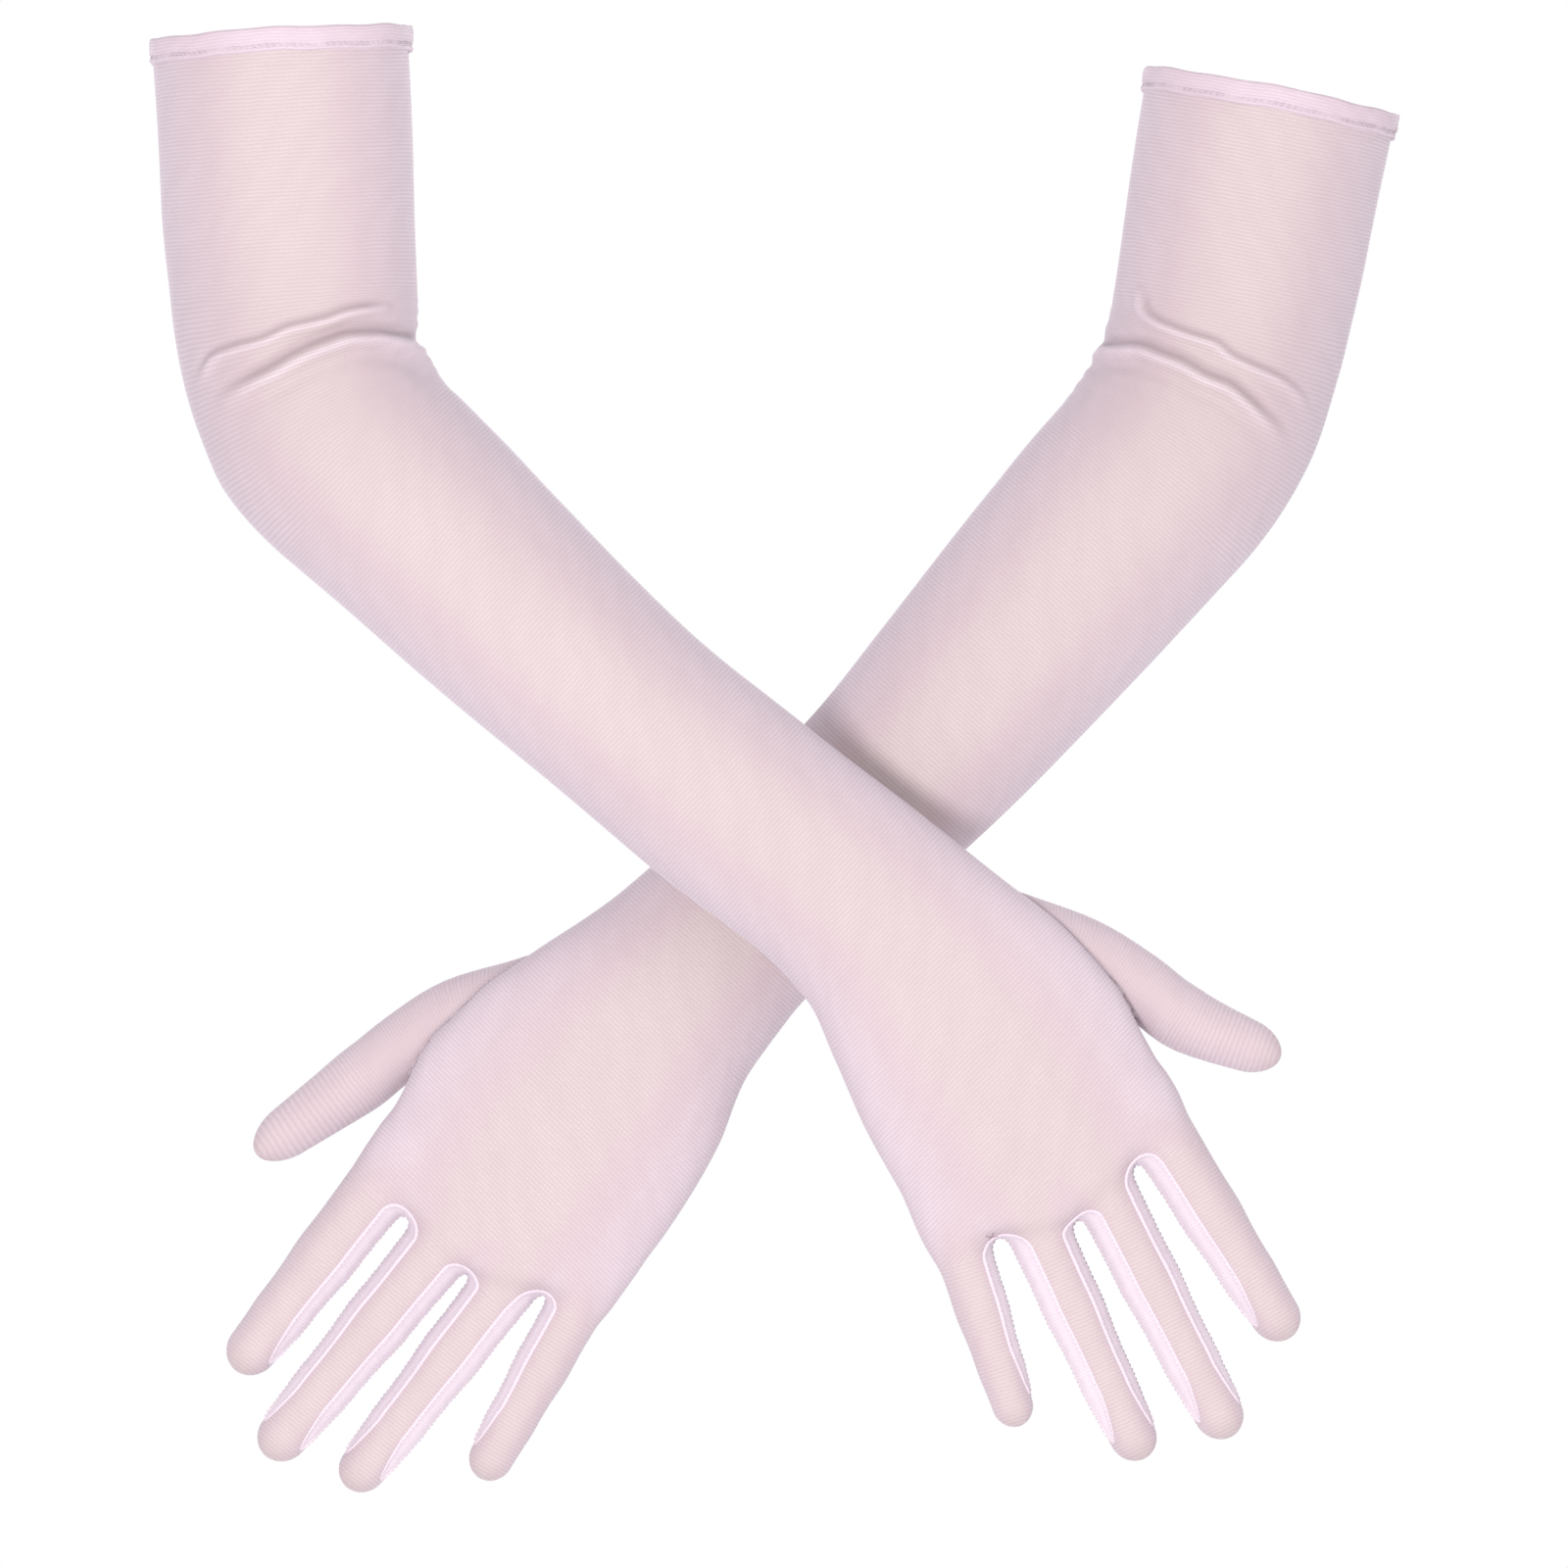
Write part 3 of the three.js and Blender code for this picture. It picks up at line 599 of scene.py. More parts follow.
def relaxed(points, faces, rounds, settle):
    """Evens out the cells without leaving the surface."""
    a, b = faces.ravel(), np.roll(faces, -1, axis=1).ravel()
    count = np.bincount(a, minlength=len(points)) + np.bincount(b, minlength=len(points))
    for _ in range(rounds):
        total = np.zeros_like(points)
        for k in range(3):
            total[:, k] = (np.bincount(a, points[b, k], len(points))
                           + np.bincount(b, points[a, k], len(points)))
        points = settle(mix(points, total / np.maximum(count, 1)[:, None], 0.5))
    return points


def cut_along(points, triangles, value):
    """Cuts triangles where value changes sign. Returns the points, the triangles, and their sides."""
    value = np.where(np.abs(value) < 1e-4, 1e-4, value)
    over = value > 0
    count = over[triangles].sum(1)
    whole = triangles[(count == 0) | (count == 3)]
    mixed = triangles[(count == 1) | (count == 2)]
    lone = np.where(over[mixed].sum(1) == 1, np.argmax(over[mixed], 1), np.argmin(over[mixed], 1))
    rows = np.arange(len(mixed))
    a, b, c = mixed[rows, lone], mixed[rows, (lone + 1) % 3], mixed[rows, (lone + 2) % 3]
    edges = np.sort(np.vstack([np.column_stack([a, b]), np.column_stack([a, c])]), 1)
    unique, back = np.unique(edges, axis=0, return_inverse=True)
    back = back.ravel()
    i, j = unique.T
    t = (value[i] / (value[i] - value[j]))[:, None]
    extra = mix(points[i], points[j], t)
    ab, ac = back[:len(mixed)] + len(points), back[len(mixed):] + len(points)
    made = np.vstack([np.column_stack(corners) for corners in ((a, ab, ac), (ab, b, c), (ab, c, ac))])
    side = np.concatenate([over[whole[:, 0]], over[a], over[b], over[b]])
    return np.vstack([points, extra]), np.vstack([whole, made]), side


def open_edges(triangles):
    """The edges that only one triangle has."""
    edges = np.vstack([triangles[:, [0, 1]], triangles[:, [1, 2]], triangles[:, [2, 0]]])
    edges, uses = np.unique(np.sort(edges, 1), axis=0, return_counts=True)
    return edges[uses == 1]


def only(faces):
    """The points that these faces use, and the faces numbered by them."""
    used, back = np.unique(faces, return_inverse=True)
    return used, back.reshape(faces.shape)


# ------------------------------------------------------------------ materials


def material(name):
    m = bpy.data.materials.new(name)
    m.use_nodes = True
    nodes, links = m.node_tree.nodes, m.node_tree.links
    return m, nodes, links, nodes["Principled BSDF"]


def put(nodes, kind, **settings):
    node = nodes.new(kind)
    for key, value in settings.items():
        if hasattr(node, key) and key not in node.inputs:
            setattr(node, key, value)
        else:
            node.inputs[key].default_value = value
    return node


def knit_material(name, face, flank, edge, thread, courses, wales, relief, see_through, rough):
    """Fine knitted mesh: courses run round the limb and wales along it, in the knit's own map.
    face, flank and edge are its colours from the flat of a limb round to its sides: on the limbs the darker
    flank is painted shade and the paler edge a painted sheen; thread is the colour between the courses.
    Painted shade makes it deeper in folds and seams, and a painted highlight paler where a fold stands up."""
    # deep is the colour of the painted shade, pale the colour of the painted highlight
    deep = tuple(c * 0.55 for c in thread[:3]) + (1.0,)
    pale = tuple(min(1.0, c * 1.18) for c in edge[:3]) + (1.0,)
    m, nodes, links, shader = material(name)
    uv = put(nodes, "ShaderNodeUVMap", uv_map="Knit")
    drift = put(nodes, "ShaderNodeTexNoise", Scale=0.55, Detail=2.0, Roughness=0.5)
    links.new(uv.outputs["UV"], drift.inputs["Vector"])
    sway = put(nodes, "ShaderNodeVectorMath", operation="MULTIPLY_ADD")
    links.new(drift.outputs["Color"], sway.inputs[0])
    sway.inputs[1].default_value = (0.06, 0.10, 0)
    links.new(uv.outputs["UV"], sway.inputs[2])
    # a wave's band is 0.314 of its map over its scale, and the map is in centimetres
    course = put(nodes, "ShaderNodeTexWave", bands_direction="Y", wave_profile="SIN",
                 Scale=3.14159 / courses, Distortion=1.8, Detail=2.0)
    course.inputs["Detail Scale"].default_value = 3.0
    wale = put(nodes, "ShaderNodeTexWave", bands_direction="X", wave_profile="SIN",
               Scale=3.14159 / wales, Distortion=0.8, Detail=1.0)
    for wave in (course, wale):
        links.new(sway.outputs["Vector"], wave.inputs["Vector"])
    cross = put(nodes, "ShaderNodeMath", operation="MULTIPLY")
    links.new(course.outputs["Fac"], cross.inputs[0])
    links.new(wale.outputs["Fac"], cross.inputs[1])
    yarn = put(nodes, "ShaderNodeMix", data_type="FLOAT")
    yarn.inputs["Factor"].default_value = 0.45
    links.new(course.outputs["Fac"], yarn.inputs[2])
    links.new(cross.outputs["Value"], yarn.inputs[3])

    # broad soft bands where the two faces of the knit fall in and out of step
    moire = put(nodes, "ShaderNodeTexWave", bands_direction="DIAGONAL",
                Scale=0.42, Distortion=9.0, Detail=2.0)
    moire.inputs["Detail Scale"].default_value = 0.7
    links.new(uv.outputs["UV"], moire.inputs["Vector"])
    tone = put(nodes, "ShaderNodeAttribute", attribute_name="Side")
    blotch = put(nodes, "ShaderNodeTexNoise", Scale=1.6, Detail=4.0, Roughness=0.6)
    coordinates = put(nodes, "ShaderNodeTexCoord")
    spread = put(nodes, "ShaderNodeMapping")
    spread.inputs["Scale"].default_value = (22, 22, 22)
    links.new(coordinates.outputs["Object"], spread.inputs["Vector"])
    links.new(spread.outputs["Vector"], blotch.inputs["Vector"])

    def blend(first, second, factor, how="MIX"):
        node = put(nodes, "ShaderNodeMix", data_type="RGBA", blend_type=how)
        for socket, value in ((6, first), (7, second)):
            if isinstance(value, tuple):
                node.inputs[socket].default_value = value
            else:
                links.new(value, node.inputs[socket])
        if isinstance(factor, float):
            node.inputs["Factor"].default_value = factor
        else:
            links.new(factor, node.inputs["Factor"])
        return node.outputs[2]

    def ranged(source, low, high, to_low, to_high):
        node = put(nodes, "ShaderNodeMapRange")
        for key, value in (("From Min", low), ("From Max", high), ("To Min", to_low), ("To Max", to_high)):
            node.inputs[key].default_value = value
        links.new(source, node.inputs["Value"])
        return node.outputs["Result"]

    # painted shade down a limb's flanks, turning to a painted sheen at its rims
    ground = blend(face, flank, ranged(tone.outputs["Fac"], 0.0, 0.45, 0.0, 1.0))
    ground = blend(ground, edge, ranged(tone.outputs["Fac"], 0.45, 1.0, 0.0, 1.0))
    line = put(nodes, "ShaderNodeAttribute", attribute_name="Line")
    # painted shade in folds and seams, and a painted highlight on a fold's ridge
    ground = blend(ground, deep, ranged(line.outputs["Fac"], 0.0, 1.0, 0.0, 0.55))
    ground = blend(ground, pale, ranged(line.outputs["Fac"], -1.0, 0.0, 0.75, 0.0))
    ribbed = blend(thread, ground, ranged(yarn.outputs[0], 0.0, 1.0, 0.40, 1.0))
    banded = blend(ribbed, thread, ranged(moire.outputs["Fac"], 0.0, 1.0, 0.0, 0.10))
    varied = blend(banded, thread, ranged(blotch.outputs["Fac"], 0.3, 0.7, 0.0, 0.16))
    links.new(varied, shader.inputs["Base Color"])
    links.new(ranged(yarn.outputs[0], 0.0, 1.0, rough + 0.08, rough - 0.05), shader.inputs["Roughness"])
    shader.inputs["Alpha"].default_value = see_through
    shader.inputs["Specular IOR Level"].default_value = 0.25
    shader.inputs["Sheen Weight"].default_value = 0.25
    shader.inputs["Sheen Roughness"].default_value = 0.45
    shader.inputs["Sheen Tint"].default_value = (0.94, 0.88, 1.0, 1.0)
    raised = put(nodes, "ShaderNodeBump", Strength=relief, Distance=0.0003)
    links.new(yarn.outputs[0], raised.inputs["Height"])
    links.new(raised.outputs["Normal"], shader.inputs["Normal"])
    return m


def thread_material(name, colour):
    """Twisted sewing thread."""
    m, nodes, links, shader = material(name)
    coordinates = put(nodes, "ShaderNodeTexCoord")
    twist = put(nodes, "ShaderNodeTexWave", bands_direction="DIAGONAL", Scale=900.0, Distortion=2.0)
    links.new(coordinates.outputs["Object"], twist.inputs["Vector"])
    ramp = put(nodes, "ShaderNodeValToRGB")
    ramp.color_ramp.elements[0].color = tuple(c * 0.8 for c in colour[:3]) + (1,)
    ramp.color_ramp.elements[1].color = colour
    links.new(twist.outputs["Fac"], ramp.inputs["Fac"])
    links.new(ramp.outputs["Color"], shader.inputs["Base Color"])
    shader.inputs["Roughness"].default_value = 0.6
    shader.inputs["Sheen Weight"].default_value = 0.2
    raised = put(nodes, "ShaderNodeBump", Strength=0.3, Distance=0.0001)
    links.new(twist.outputs["Fac"], raised.inputs["Height"])
    links.new(raised.outputs["Normal"], shader.inputs["Normal"])
    return m


# on the mesh and the hem, flank is painted shade down a limb's sides and edge a painted sheen at its rims
MESH = knit_material("Pink mesh", face=(0.495, 0.418, 0.415, 1), flank=(0.49, 0.395, 0.425, 1),
                     edge=(0.55, 0.475, 0.54, 1), thread=(0.39, 0.295, 0.325, 1), courses=1.12, wales=0.9,
                     relief=0.16, see_through=0.93, rough=0.72)
STRIP = knit_material("Pale mesh strip", face=(0.61, 0.535, 0.585, 1), flank=(0.61, 0.53, 0.585, 1),
                      edge=(0.575, 0.495, 0.55, 1), thread=(0.52, 0.425, 0.49, 1), courses=0.9, wales=0.7,
                      relief=0.15, see_through=1.0, rough=0.7)
HEM = knit_material("Turned hem", face=(0.53, 0.435, 0.49, 1), flank=(0.525, 0.43, 0.485, 1),
                    edge=(0.55, 0.46, 0.52, 1), thread=(0.42, 0.32, 0.37, 1), courses=1.0, wales=0.75,
                    relief=0.35, see_through=1.0, rough=0.68)
THREAD = thread_material("Pink thread", (0.54, 0.45, 0.51, 1))
DARK_THREAD = thread_material("Rose thread", (0.20, 0.12, 0.15, 1))


# ------------------------------------------------------------------ stitches


def stitch_tree():
    """Short threads laid end to end along a line, each pressed into the cloth."""
    tree = bpy.data.node_groups.new("Stitches", "GeometryNodeTree")
    face = tree.interface
    face.new_socket("Geometry", in_out="INPUT", socket_type="NodeSocketGeometry")
    for name, value in (("Spacing", 0.0016), ("Length", 0.0011), ("Thickness", 0.0003)):
        socket = face.new_socket(name, in_out="INPUT", socket_type="NodeSocketFloat")
        socket.default_value = value
    face.new_socket("Seed", in_out="INPUT", socket_type="NodeSocketInt").default_value = 4
    face.new_socket("Material", in_out="INPUT", socket_type="NodeSocketMaterial")
    face.new_socket("Geometry", in_out="OUTPUT", socket_type="NodeSocketGeometry")
    nodes, links = tree.nodes, tree.links
    given, made = nodes.new("NodeGroupInput"), nodes.new("NodeGroupOutput")
    curve = nodes.new("GeometryNodeMeshToCurve")
    spaced = nodes.new("GeometryNodeResampleCurve")
    spaced.mode = "LENGTH"
    links.new(given.outputs["Geometry"], curve.inputs["Mesh"])
    links.new(curve.outputs["Curve"], spaced.inputs["Curve"])
    links.new(given.outputs["Spacing"], spaced.inputs["Length"])
    tangent = nodes.new("GeometryNodeInputTangent")
    out = nodes.new("GeometryNodeInputNamedAttribute")
    out.data_type = "FLOAT_VECTOR"
    out.inputs["Name"].default_value = "out"
    lie, turn = nodes.new("FunctionNodeAlignRotationToVector"), nodes.new("FunctionNodeAlignRotationToVector")
    lie.axis, turn.axis, turn.pivot_axis = "X", "Z", "X"
    links.new(tangent.outputs["Tangent"], lie.inputs["Vector"])
    links.new(lie.outputs["Rotation"], turn.inputs["Rotation"])
    links.new(out.outputs["Attribute"], turn.inputs["Vector"])
    grain = nodes.new("GeometryNodeMeshIcoSphere")
    grain.inputs["Radius"].default_value = 0.5
    grain.inputs["Subdivisions"].default_value = 2
    size = nodes.new("ShaderNodeCombineXYZ")
    wander = nodes.new("FunctionNodeRandomValue")
    wander.data_type = "FLOAT"
    wander.inputs[2].default_value, wander.inputs[3].default_value = 0.85, 1.15
    links.new(given.outputs["Seed"], wander.inputs["Seed"])
    long = nodes.new("ShaderNodeMath")
    long.operation = "MULTIPLY"
    links.new(given.outputs["Length"], long.inputs[0])
    links.new(wander.outputs[1], long.inputs[1])
    links.new(long.outputs["Value"], size.inputs["X"])
    links.new(given.outputs["Thickness"], size.inputs["Y"])
    links.new(given.outputs["Thickness"], size.inputs["Z"])
    laid = nodes.new("GeometryNodeInstanceOnPoints")
    links.new(spaced.outputs["Curve"], laid.inputs["Points"])
    links.new(grain.outputs["Mesh"], laid.inputs["Instance"])
    links.new(turn.outputs["Rotation"], laid.inputs["Rotation"])
    links.new(size.outputs["Vector"], laid.inputs["Scale"])
    real = nodes.new("GeometryNodeRealizeInstances")
    dressed = nodes.new("GeometryNodeSetMaterial")
    links.new(laid.outputs["Instances"], real.inputs["Geometry"])
    links.new(real.outputs["Geometry"], dressed.inputs["Geometry"])
    links.new(given.outputs["Material"], dressed.inputs["Material"])
    links.new(dressed.outputs["Geometry"], made.inputs["Geometry"])
    return tree


STITCHES = stitch_tree()


def stitches(name, lines, thread, spacing=1.6, length=1.1, thickness=0.3, seed=4, edges=None):
    """Stitching along lines, each given as places in the frame and the cloth's outward directions."""
    points = np.vstack([p for p, _ in lines])
    out = np.vstack([n for _, n in lines])
    if edges is None:
        edges, start = [], 0
        for p, _ in lines:
            edges += [(k, k + 1) for k in range(start, start + len(p) - 1)]
            start += len(p)
    edges = [tuple(int(k) for k in e) for e in edges]
    mesh = bpy.data.meshes.new(name)
    mesh.from_pydata([tuple(p * MM) for p in points], edges, [])
    facing = mesh.attributes.new("out", "FLOAT_VECTOR", "POINT")
    facing.data.foreach_set("vector", out.astype(np.float32).ravel())
    line = bpy.data.objects.new(name + "_line", mesh)
    bpy.context.scene.collection.objects.link(line)
    modifier = line.modifiers.new("Stitches", "NODES")
    modifier.node_group = STITCHES
    sizes = {"Spacing": spacing * MM, "Length": length * MM, "Thickness": thickness * MM, "Seed": seed,
             "Material": thread}
    for item in STITCHES.interface.items_tree:
        if item.in_out == "INPUT" and item.name in sizes:
            modifier[item.identifier] = sizes[item.name]
    bpy.context.view_layer.update()
    graph = bpy.context.evaluated_depsgraph_get()
    done = bpy.data.meshes.new_from_object(line.evaluated_get(graph))
    bpy.data.objects.remove(line)
    done.name = name
    done.shade_smooth()
    for left in [a.name for a in done.attributes if a.name == "out"]:
        done.attributes.remove(done.attributes[left])
    piece = bpy.data.objects.new(name, done)
    bpy.context.scene.collection.objects.link(piece)
    return piece


# ------------------------------------------------------------------ sleeves and hems


def crease_height(glove, points, front):
    """How far the cloth stands up along the elbow's creases, and how deep the painted shade in them lies,
    below nought where a painted highlight lies on a ridge.
    """
    d = points - flat(glove.elbow)
    wide = across(glove.up)
    spot = np.column_stack([d @ glove.up, d @ wide])
    height, shade = np.zeros(len(points)), np.zeros(len(points))
    for line, width, tall in CREASES[glove.name]:
        line = np.array(line, float)
        knots = np.linspace(0, len(line) - 1, 60)
        line = np.column_stack([flowing(knots, np.arange(len(line)), line[:, k]) for k in (0, 1)])
        nearest = np.full(len(points), 1e9)
        signed, share = np.zeros(len(points)), np.zeros(len(points))
        for k in range(len(line) - 1):
            way = line[k + 1] - line[k]
            f = np.clip(((spot - line[k]) @ way) / (way @ way), 0, 1)
            gap = spot - line[k] - f[:, None] * way
            far = np.hypot(*gap.T)
            near = far < nearest
            nearest[near] = far[near]
            lean = way[0] * gap[:, 1] - way[1] * gap[:, 0]
            signed[near] = (np.sign(lean) * far)[near]
            share[near] = ((k + f) / (len(line) - 1))[near]
        sign = np.sign(line[-1, 1] - line[0, 1])
        upwards = signed * sign
        fade = ease(share / 0.12 + 0.35) * ease((1 - share) / 0.3)
        ridge = bump(nearest, width) - 0.75 * bump(upwards - 1.9 * width, 0.75 * width)
        ridge -= 0.35 * bump(upwards + 2.2 * width, 1.2 * width)
        height += tall * ridge * fade * mix(0.55, 1.0, front)
        # painted shade above each crease, and below nought a painted highlight along its ridge
        shade += fade * front * (bump(upwards - 1.6 * width, 0.7 * width) - 0.9 * bump(nearest, 0.8 * width))
    return height, shade


def sleeve(glove):
    """The sleeve from under the hem to short of the wrist, with its elbow creases."""
    g = glove.name
    bend = (glove.upper_long - 42, glove.upper_long + 34)
    end = glove.upper_long + glove.fore_long - SLEEVE_END
    start = HEM_HEIGHT - 1.5
    s = np.concatenate([
        np.linspace(start, bend[0], int((bend[0] - start) / RING), endpoint=False),
        np.linspace(*bend, int((bend[1] - bend[0]) / FINE_RING), endpoint=False),
        np.linspace(bend[1], end, int((end - bend[1]) / RING))])
    middle, wide = glove.spine(s)
    half, shift, deep, lie = glove.section(s)
    turn = np.linspace(0, 2 * np.pi, AROUND, endpoint=False)
    co, si = np.cos(turn), np.sin(turn)
    x = shift[:, None] + half[:, None] * co
    y = lie[:, None] + deep[:, None] * si
    points = middle[:, None] + x[..., None] * wide[:, None]
    points[..., 1] = y
    normal = (co / half[:, None])[..., None] * wide[:, None]
    normal[..., 1] = si / deep[:, None]
    points, normal = points.reshape(-1, 3), units(normal).reshape(-1, 3)
    around, along = np.tile(turn, len(s)), np.repeat(s, AROUND)

    front = ease((0.35 - np.sin(around)) / 0.7)
    height, shade = crease_height(glove, flat(points), front)
    shade = shade + 0.24 * bump(along - glove.upper_long, 34)      # painted shade, darker round the elbow where the cloth lies in folds
    # slack cloth pulls into fine ripples on the inside of the elbow, and lies easy elsewhere
    turned = about_zero(around)
    ripples = np.sin(along * 0.85 + 2.2 * np.sin(around * 3))
    height += 0.22 * bump(turned, 0.75) * bump(along - glove.upper_long, 20) * ripples
    sway = np.sin(along * 0.055 + 1.3 * np.sin(around * 2 + along * 0.013))
    height += 0.25 * sway * np.sin(around * 3 + along * 0.03)
    height *= ease((end - along) / 12) * ease((along - start) / 8)
    points = points + normal * height[:, None]

    faces = grid_faces(len(s), AROUND, True)
    core = flat(middle) + lie[:, None] * np.array([0, 1, 0])
    faces = facing_out(points, faces, np.repeat(core, AROUND, 0)[faces].mean(1))
    piece = new_piece(f"{g}_sleeve", points, faces, MESH)
    wrap_knit(piece, turned, along - glove.upper_long - glove.fore_long, ARM_GIRTH)
    # paints shade down the arm's sides and a sheen at their rims, then shade in the folds and highlights on
    # their ridges
    paint(piece, "Side", side_shade_and_sheen(np.cos(around)))
    paint(piece, "Line", shade)
    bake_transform(piece, f"{g}_upper", f"{g}_forearm",
             start=(glove.elbow - ELBOW_BEND * glove.up) * MM,
             end=(glove.elbow + ELBOW_BEND * glove.fore) * MM)
    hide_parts(f"{g}_upper_sleeve", f"{g}_elbow_sleeve", f"{g}_forearm_sleeve")


def side_shade_and_sheen(x):
    """0 on the flat of a limb to 1 down its sides, where painted shade darkens the knit and a painted sheen
    pales its rims.
    """
    return np.clip((np.abs(x) - 0.28) / 0.70, 0, 1)


def hem_line(turn, tilt):
    """How far the hem lies below its own level round the arm: tilted to the back, and uneven."""
    return tilt * np.sin(turn) + 0.22 * np.sin(turn * 5 + 0.6) + 0.14 * np.sin(turn * 13)


def hem(glove):
    """The turned hem: a flattened roll of double cloth, lapped where its ends meet."""
    g = glove.name
    sides = 220
    turn = np.linspace(0, 2 * np.pi, sides, endpoint=False)
    # the roll's section: distance below the hem's top, and off the arm; its first rows face out
    profile = np.array([
        (7.2, 0.05), (6.9, 0.55), (6.2, 0.85), (5.5, 0.55), (5.0, 0.5), (4.4, 0.85), (3.4, 1.0),
        (2.2, 0.98), (1.1, 0.95), (0.35, 0.8), (0.0, 0.35), (0.05, -0.2), (0.5, -0.6),
        (2.0, -0.75), (5.0, -0.75), (6.8, -0.6), (7.2, -0.3)])
    outer_rows = 9
    rows = []
    lap_at = 0.0 if glove.side > 0 else np.pi      # towards +X on both arms
    lap = 0.5 * bump(np.angle(np.exp(1j * (turn - lap_at))), 0.05)
    for s, out in profile:
        ripple = (0.18 * np.sin(turn * 9 + 1.0) + 0.12 * np.sin(turn * 23 + s)
                  + 0.08 * np.sin(turn * 41 - 2 * s))
        at = s + hem_line(turn, 0.99) - (lap if s < 3 else -lap)
        off = out + (ripple * 0.7 if out > 0 else 0) + lap * (1 if out > 0.3 else 0.2)
        rows.append(glove.ring(at, turn, off)[0])
    count = len(rows)
    points = np.vstack(rows)
    faces = grid_faces(count + 1, sides, True)
    faces = np.where(faces >= count * sides, faces - count * sides, faces)
    level = np.array([HEM_HEIGHT / 2])
    centre = glove.spine(level)[0][0] + np.array([0, 1, 0]) * glove.section(level)[3][0]
    outer = (faces // sides).max(1) < outer_rows
    test = facing_out(points, faces[outer], centre)
    faces = faces if (test == faces[outer]).all() else faces[:, ::-1]
    piece = new_piece(f"{g}_hem", points, faces, HEM)
    run = np.concatenate([[0], np.cumsum(np.hypot(*np.diff(profile, axis=0).T))])
    wrap_knit(piece, np.tile(about_zero(turn), count), np.repeat(run, sides), HEM_GIRTH)
    # painted shade down the hem's sides, and a painted sheen at their rims
    paint(piece, "Side", np.tile(side_shade_and_sheen(np.cos(turn)), count))
    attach(piece, f"{g}_upper")
    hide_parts(f"{g}_hem_band")

    lines = []
    loop = np.append(turn, turn[0])
    for s, out in ((5.3, 0.62), (6.0, 0.9)):
        p, wide = glove.ring(s + hem_line(loop, 1.0), loop, out)
        n = np.cos(loop)[:, None] * wide
        n[:, 1] = np.sin(loop)
        lines.append((p, n))
    sewn = stitches(f"{g}_hem_stitches", lines, THREAD, spacing=2.0, length=1.4, thickness=0.34)
    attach(sewn, f"{g}_upper")


# ------------------------------------------------------------------ hands, thumbs and fingers


# the parts that the hand's skin is cut into; the stalls are 1 to 4, and CUT_OFF is where the sleeve takes over
HAND, THUMB, CUT_OFF = 0, 5, -1


def hand_skin(glove):
    """The whole hand's points, in its own places, and its triangles."""
    low, high = np.array([-31.0, -76.0, -24.0]), np.array([186.0, 74.0, 34.0])
    points, squares = skin_over(glove.skin, low, high, GRAIN)
    points = glove.settle(points, 3)
    points = relaxed(points, squares, 6, lambda p: glove.settle(p, 1))
    points = glove.settle(points, 2)
    triangles = np.vstack([squares[:, [0, 1, 2]], squares[:, [0, 2, 3]]])
    return points, triangles


def hand_pieces(glove):
    """Makes the hand from the sleeve to the stalls, the four stalls and the set-in thumb. Returns the
    whole skin's places, normals, triangles and their parts as well."""
    g = glove.name
    points, faces = hand_skin(glove)
    label = np.zeros(len(faces), int)

    def part(value_of, number):
        nonlocal points, faces, label
        keep = label == HAND
        cut_points, cut_faces, side = cut_along(points, faces[keep], value_of(points))
        faces = np.vstack([faces[~keep], cut_faces])
        label = np.concatenate([label[~keep], np.where(side, number, HAND)])
        points = cut_points

    part(lambda p: -SLEEVE_END - glove.arm_place(p)[0], CUT_OFF)
    for k, finger in enumerate(glove.fingers.values()):
        def beyond(p, finger=finger):
            s, x = finger.along(p)
            return np.minimum(s - finger.cut, finger.half + 1.8 - np.abs(x))
        part(beyond, k + 1)

    def thumbward(p):
        beside = glove.rest_of_hand(p) - glove.thumb_skin(p)
        return np.minimum(beside, (glove.thumb_place(p)[0] - 0.1) * 50)
    part(thumbward, THUMB)
    places = glove.from_hand(points)
    normals = glove.in_frame(units(glove.outward(points)))
    names = {0: "hand_mesh", 1: "index_finger", 2: "middle_finger", 3: "ring_finger", 4: "little_finger",
             5: "thumb_mesh"}
    made = {}
    for number, name in names.items():
        used, own = only(faces[label == number])
        p = points[used]
        own = facing_with(places[used], own, normals[used])
        piece = new_piece(f"{g}_{name}", places[used], own, MESH, normals[used])
        if number == HAND:
            x, y, _, _, _, q = glove.palm_place(p)
            wrap_knit(piece, np.arctan2(y, x), q, ARM_GIRTH)
            # painted shade down the hand's sides, and a painted sheen at their rims
            paint(piece, "Side", glove.tone(p))
        elif number < THUMB:
            finger = glove.fingers[NAMES[number - 1]]
            s, x = finger.along(p)
            turn = np.arctan2(p[:, 2] - finger.sink(s), x)
            wrap_knit(piece, turn, s + finger.fold[0] + FOLD_BACK, STALL_GIRTH)
            # painted shade down the stall's sides, and a painted sheen at their rims
            paint(piece, "Side", glove.tone(p))
        else:
            t, x, y, half = glove.thumb_place(p)
            wrap_knit(piece, np.arctan2(y, x), t * THUMB_LONG, THUMB_GIRTH)
            # 0.3 over the whole thumb, with painted shade down its sides and a painted sheen at their rims
            paint(piece, "Side", 0.3 + 0.6 * side_shade_and_sheen(x / half))
        # painted shade along the groove of the thumb's seam
        if number in (HAND, THUMB):
            paint(piece, "Line", glove.thumb_seam(p))
        made[number] = piece
    return places, normals, faces, label, made


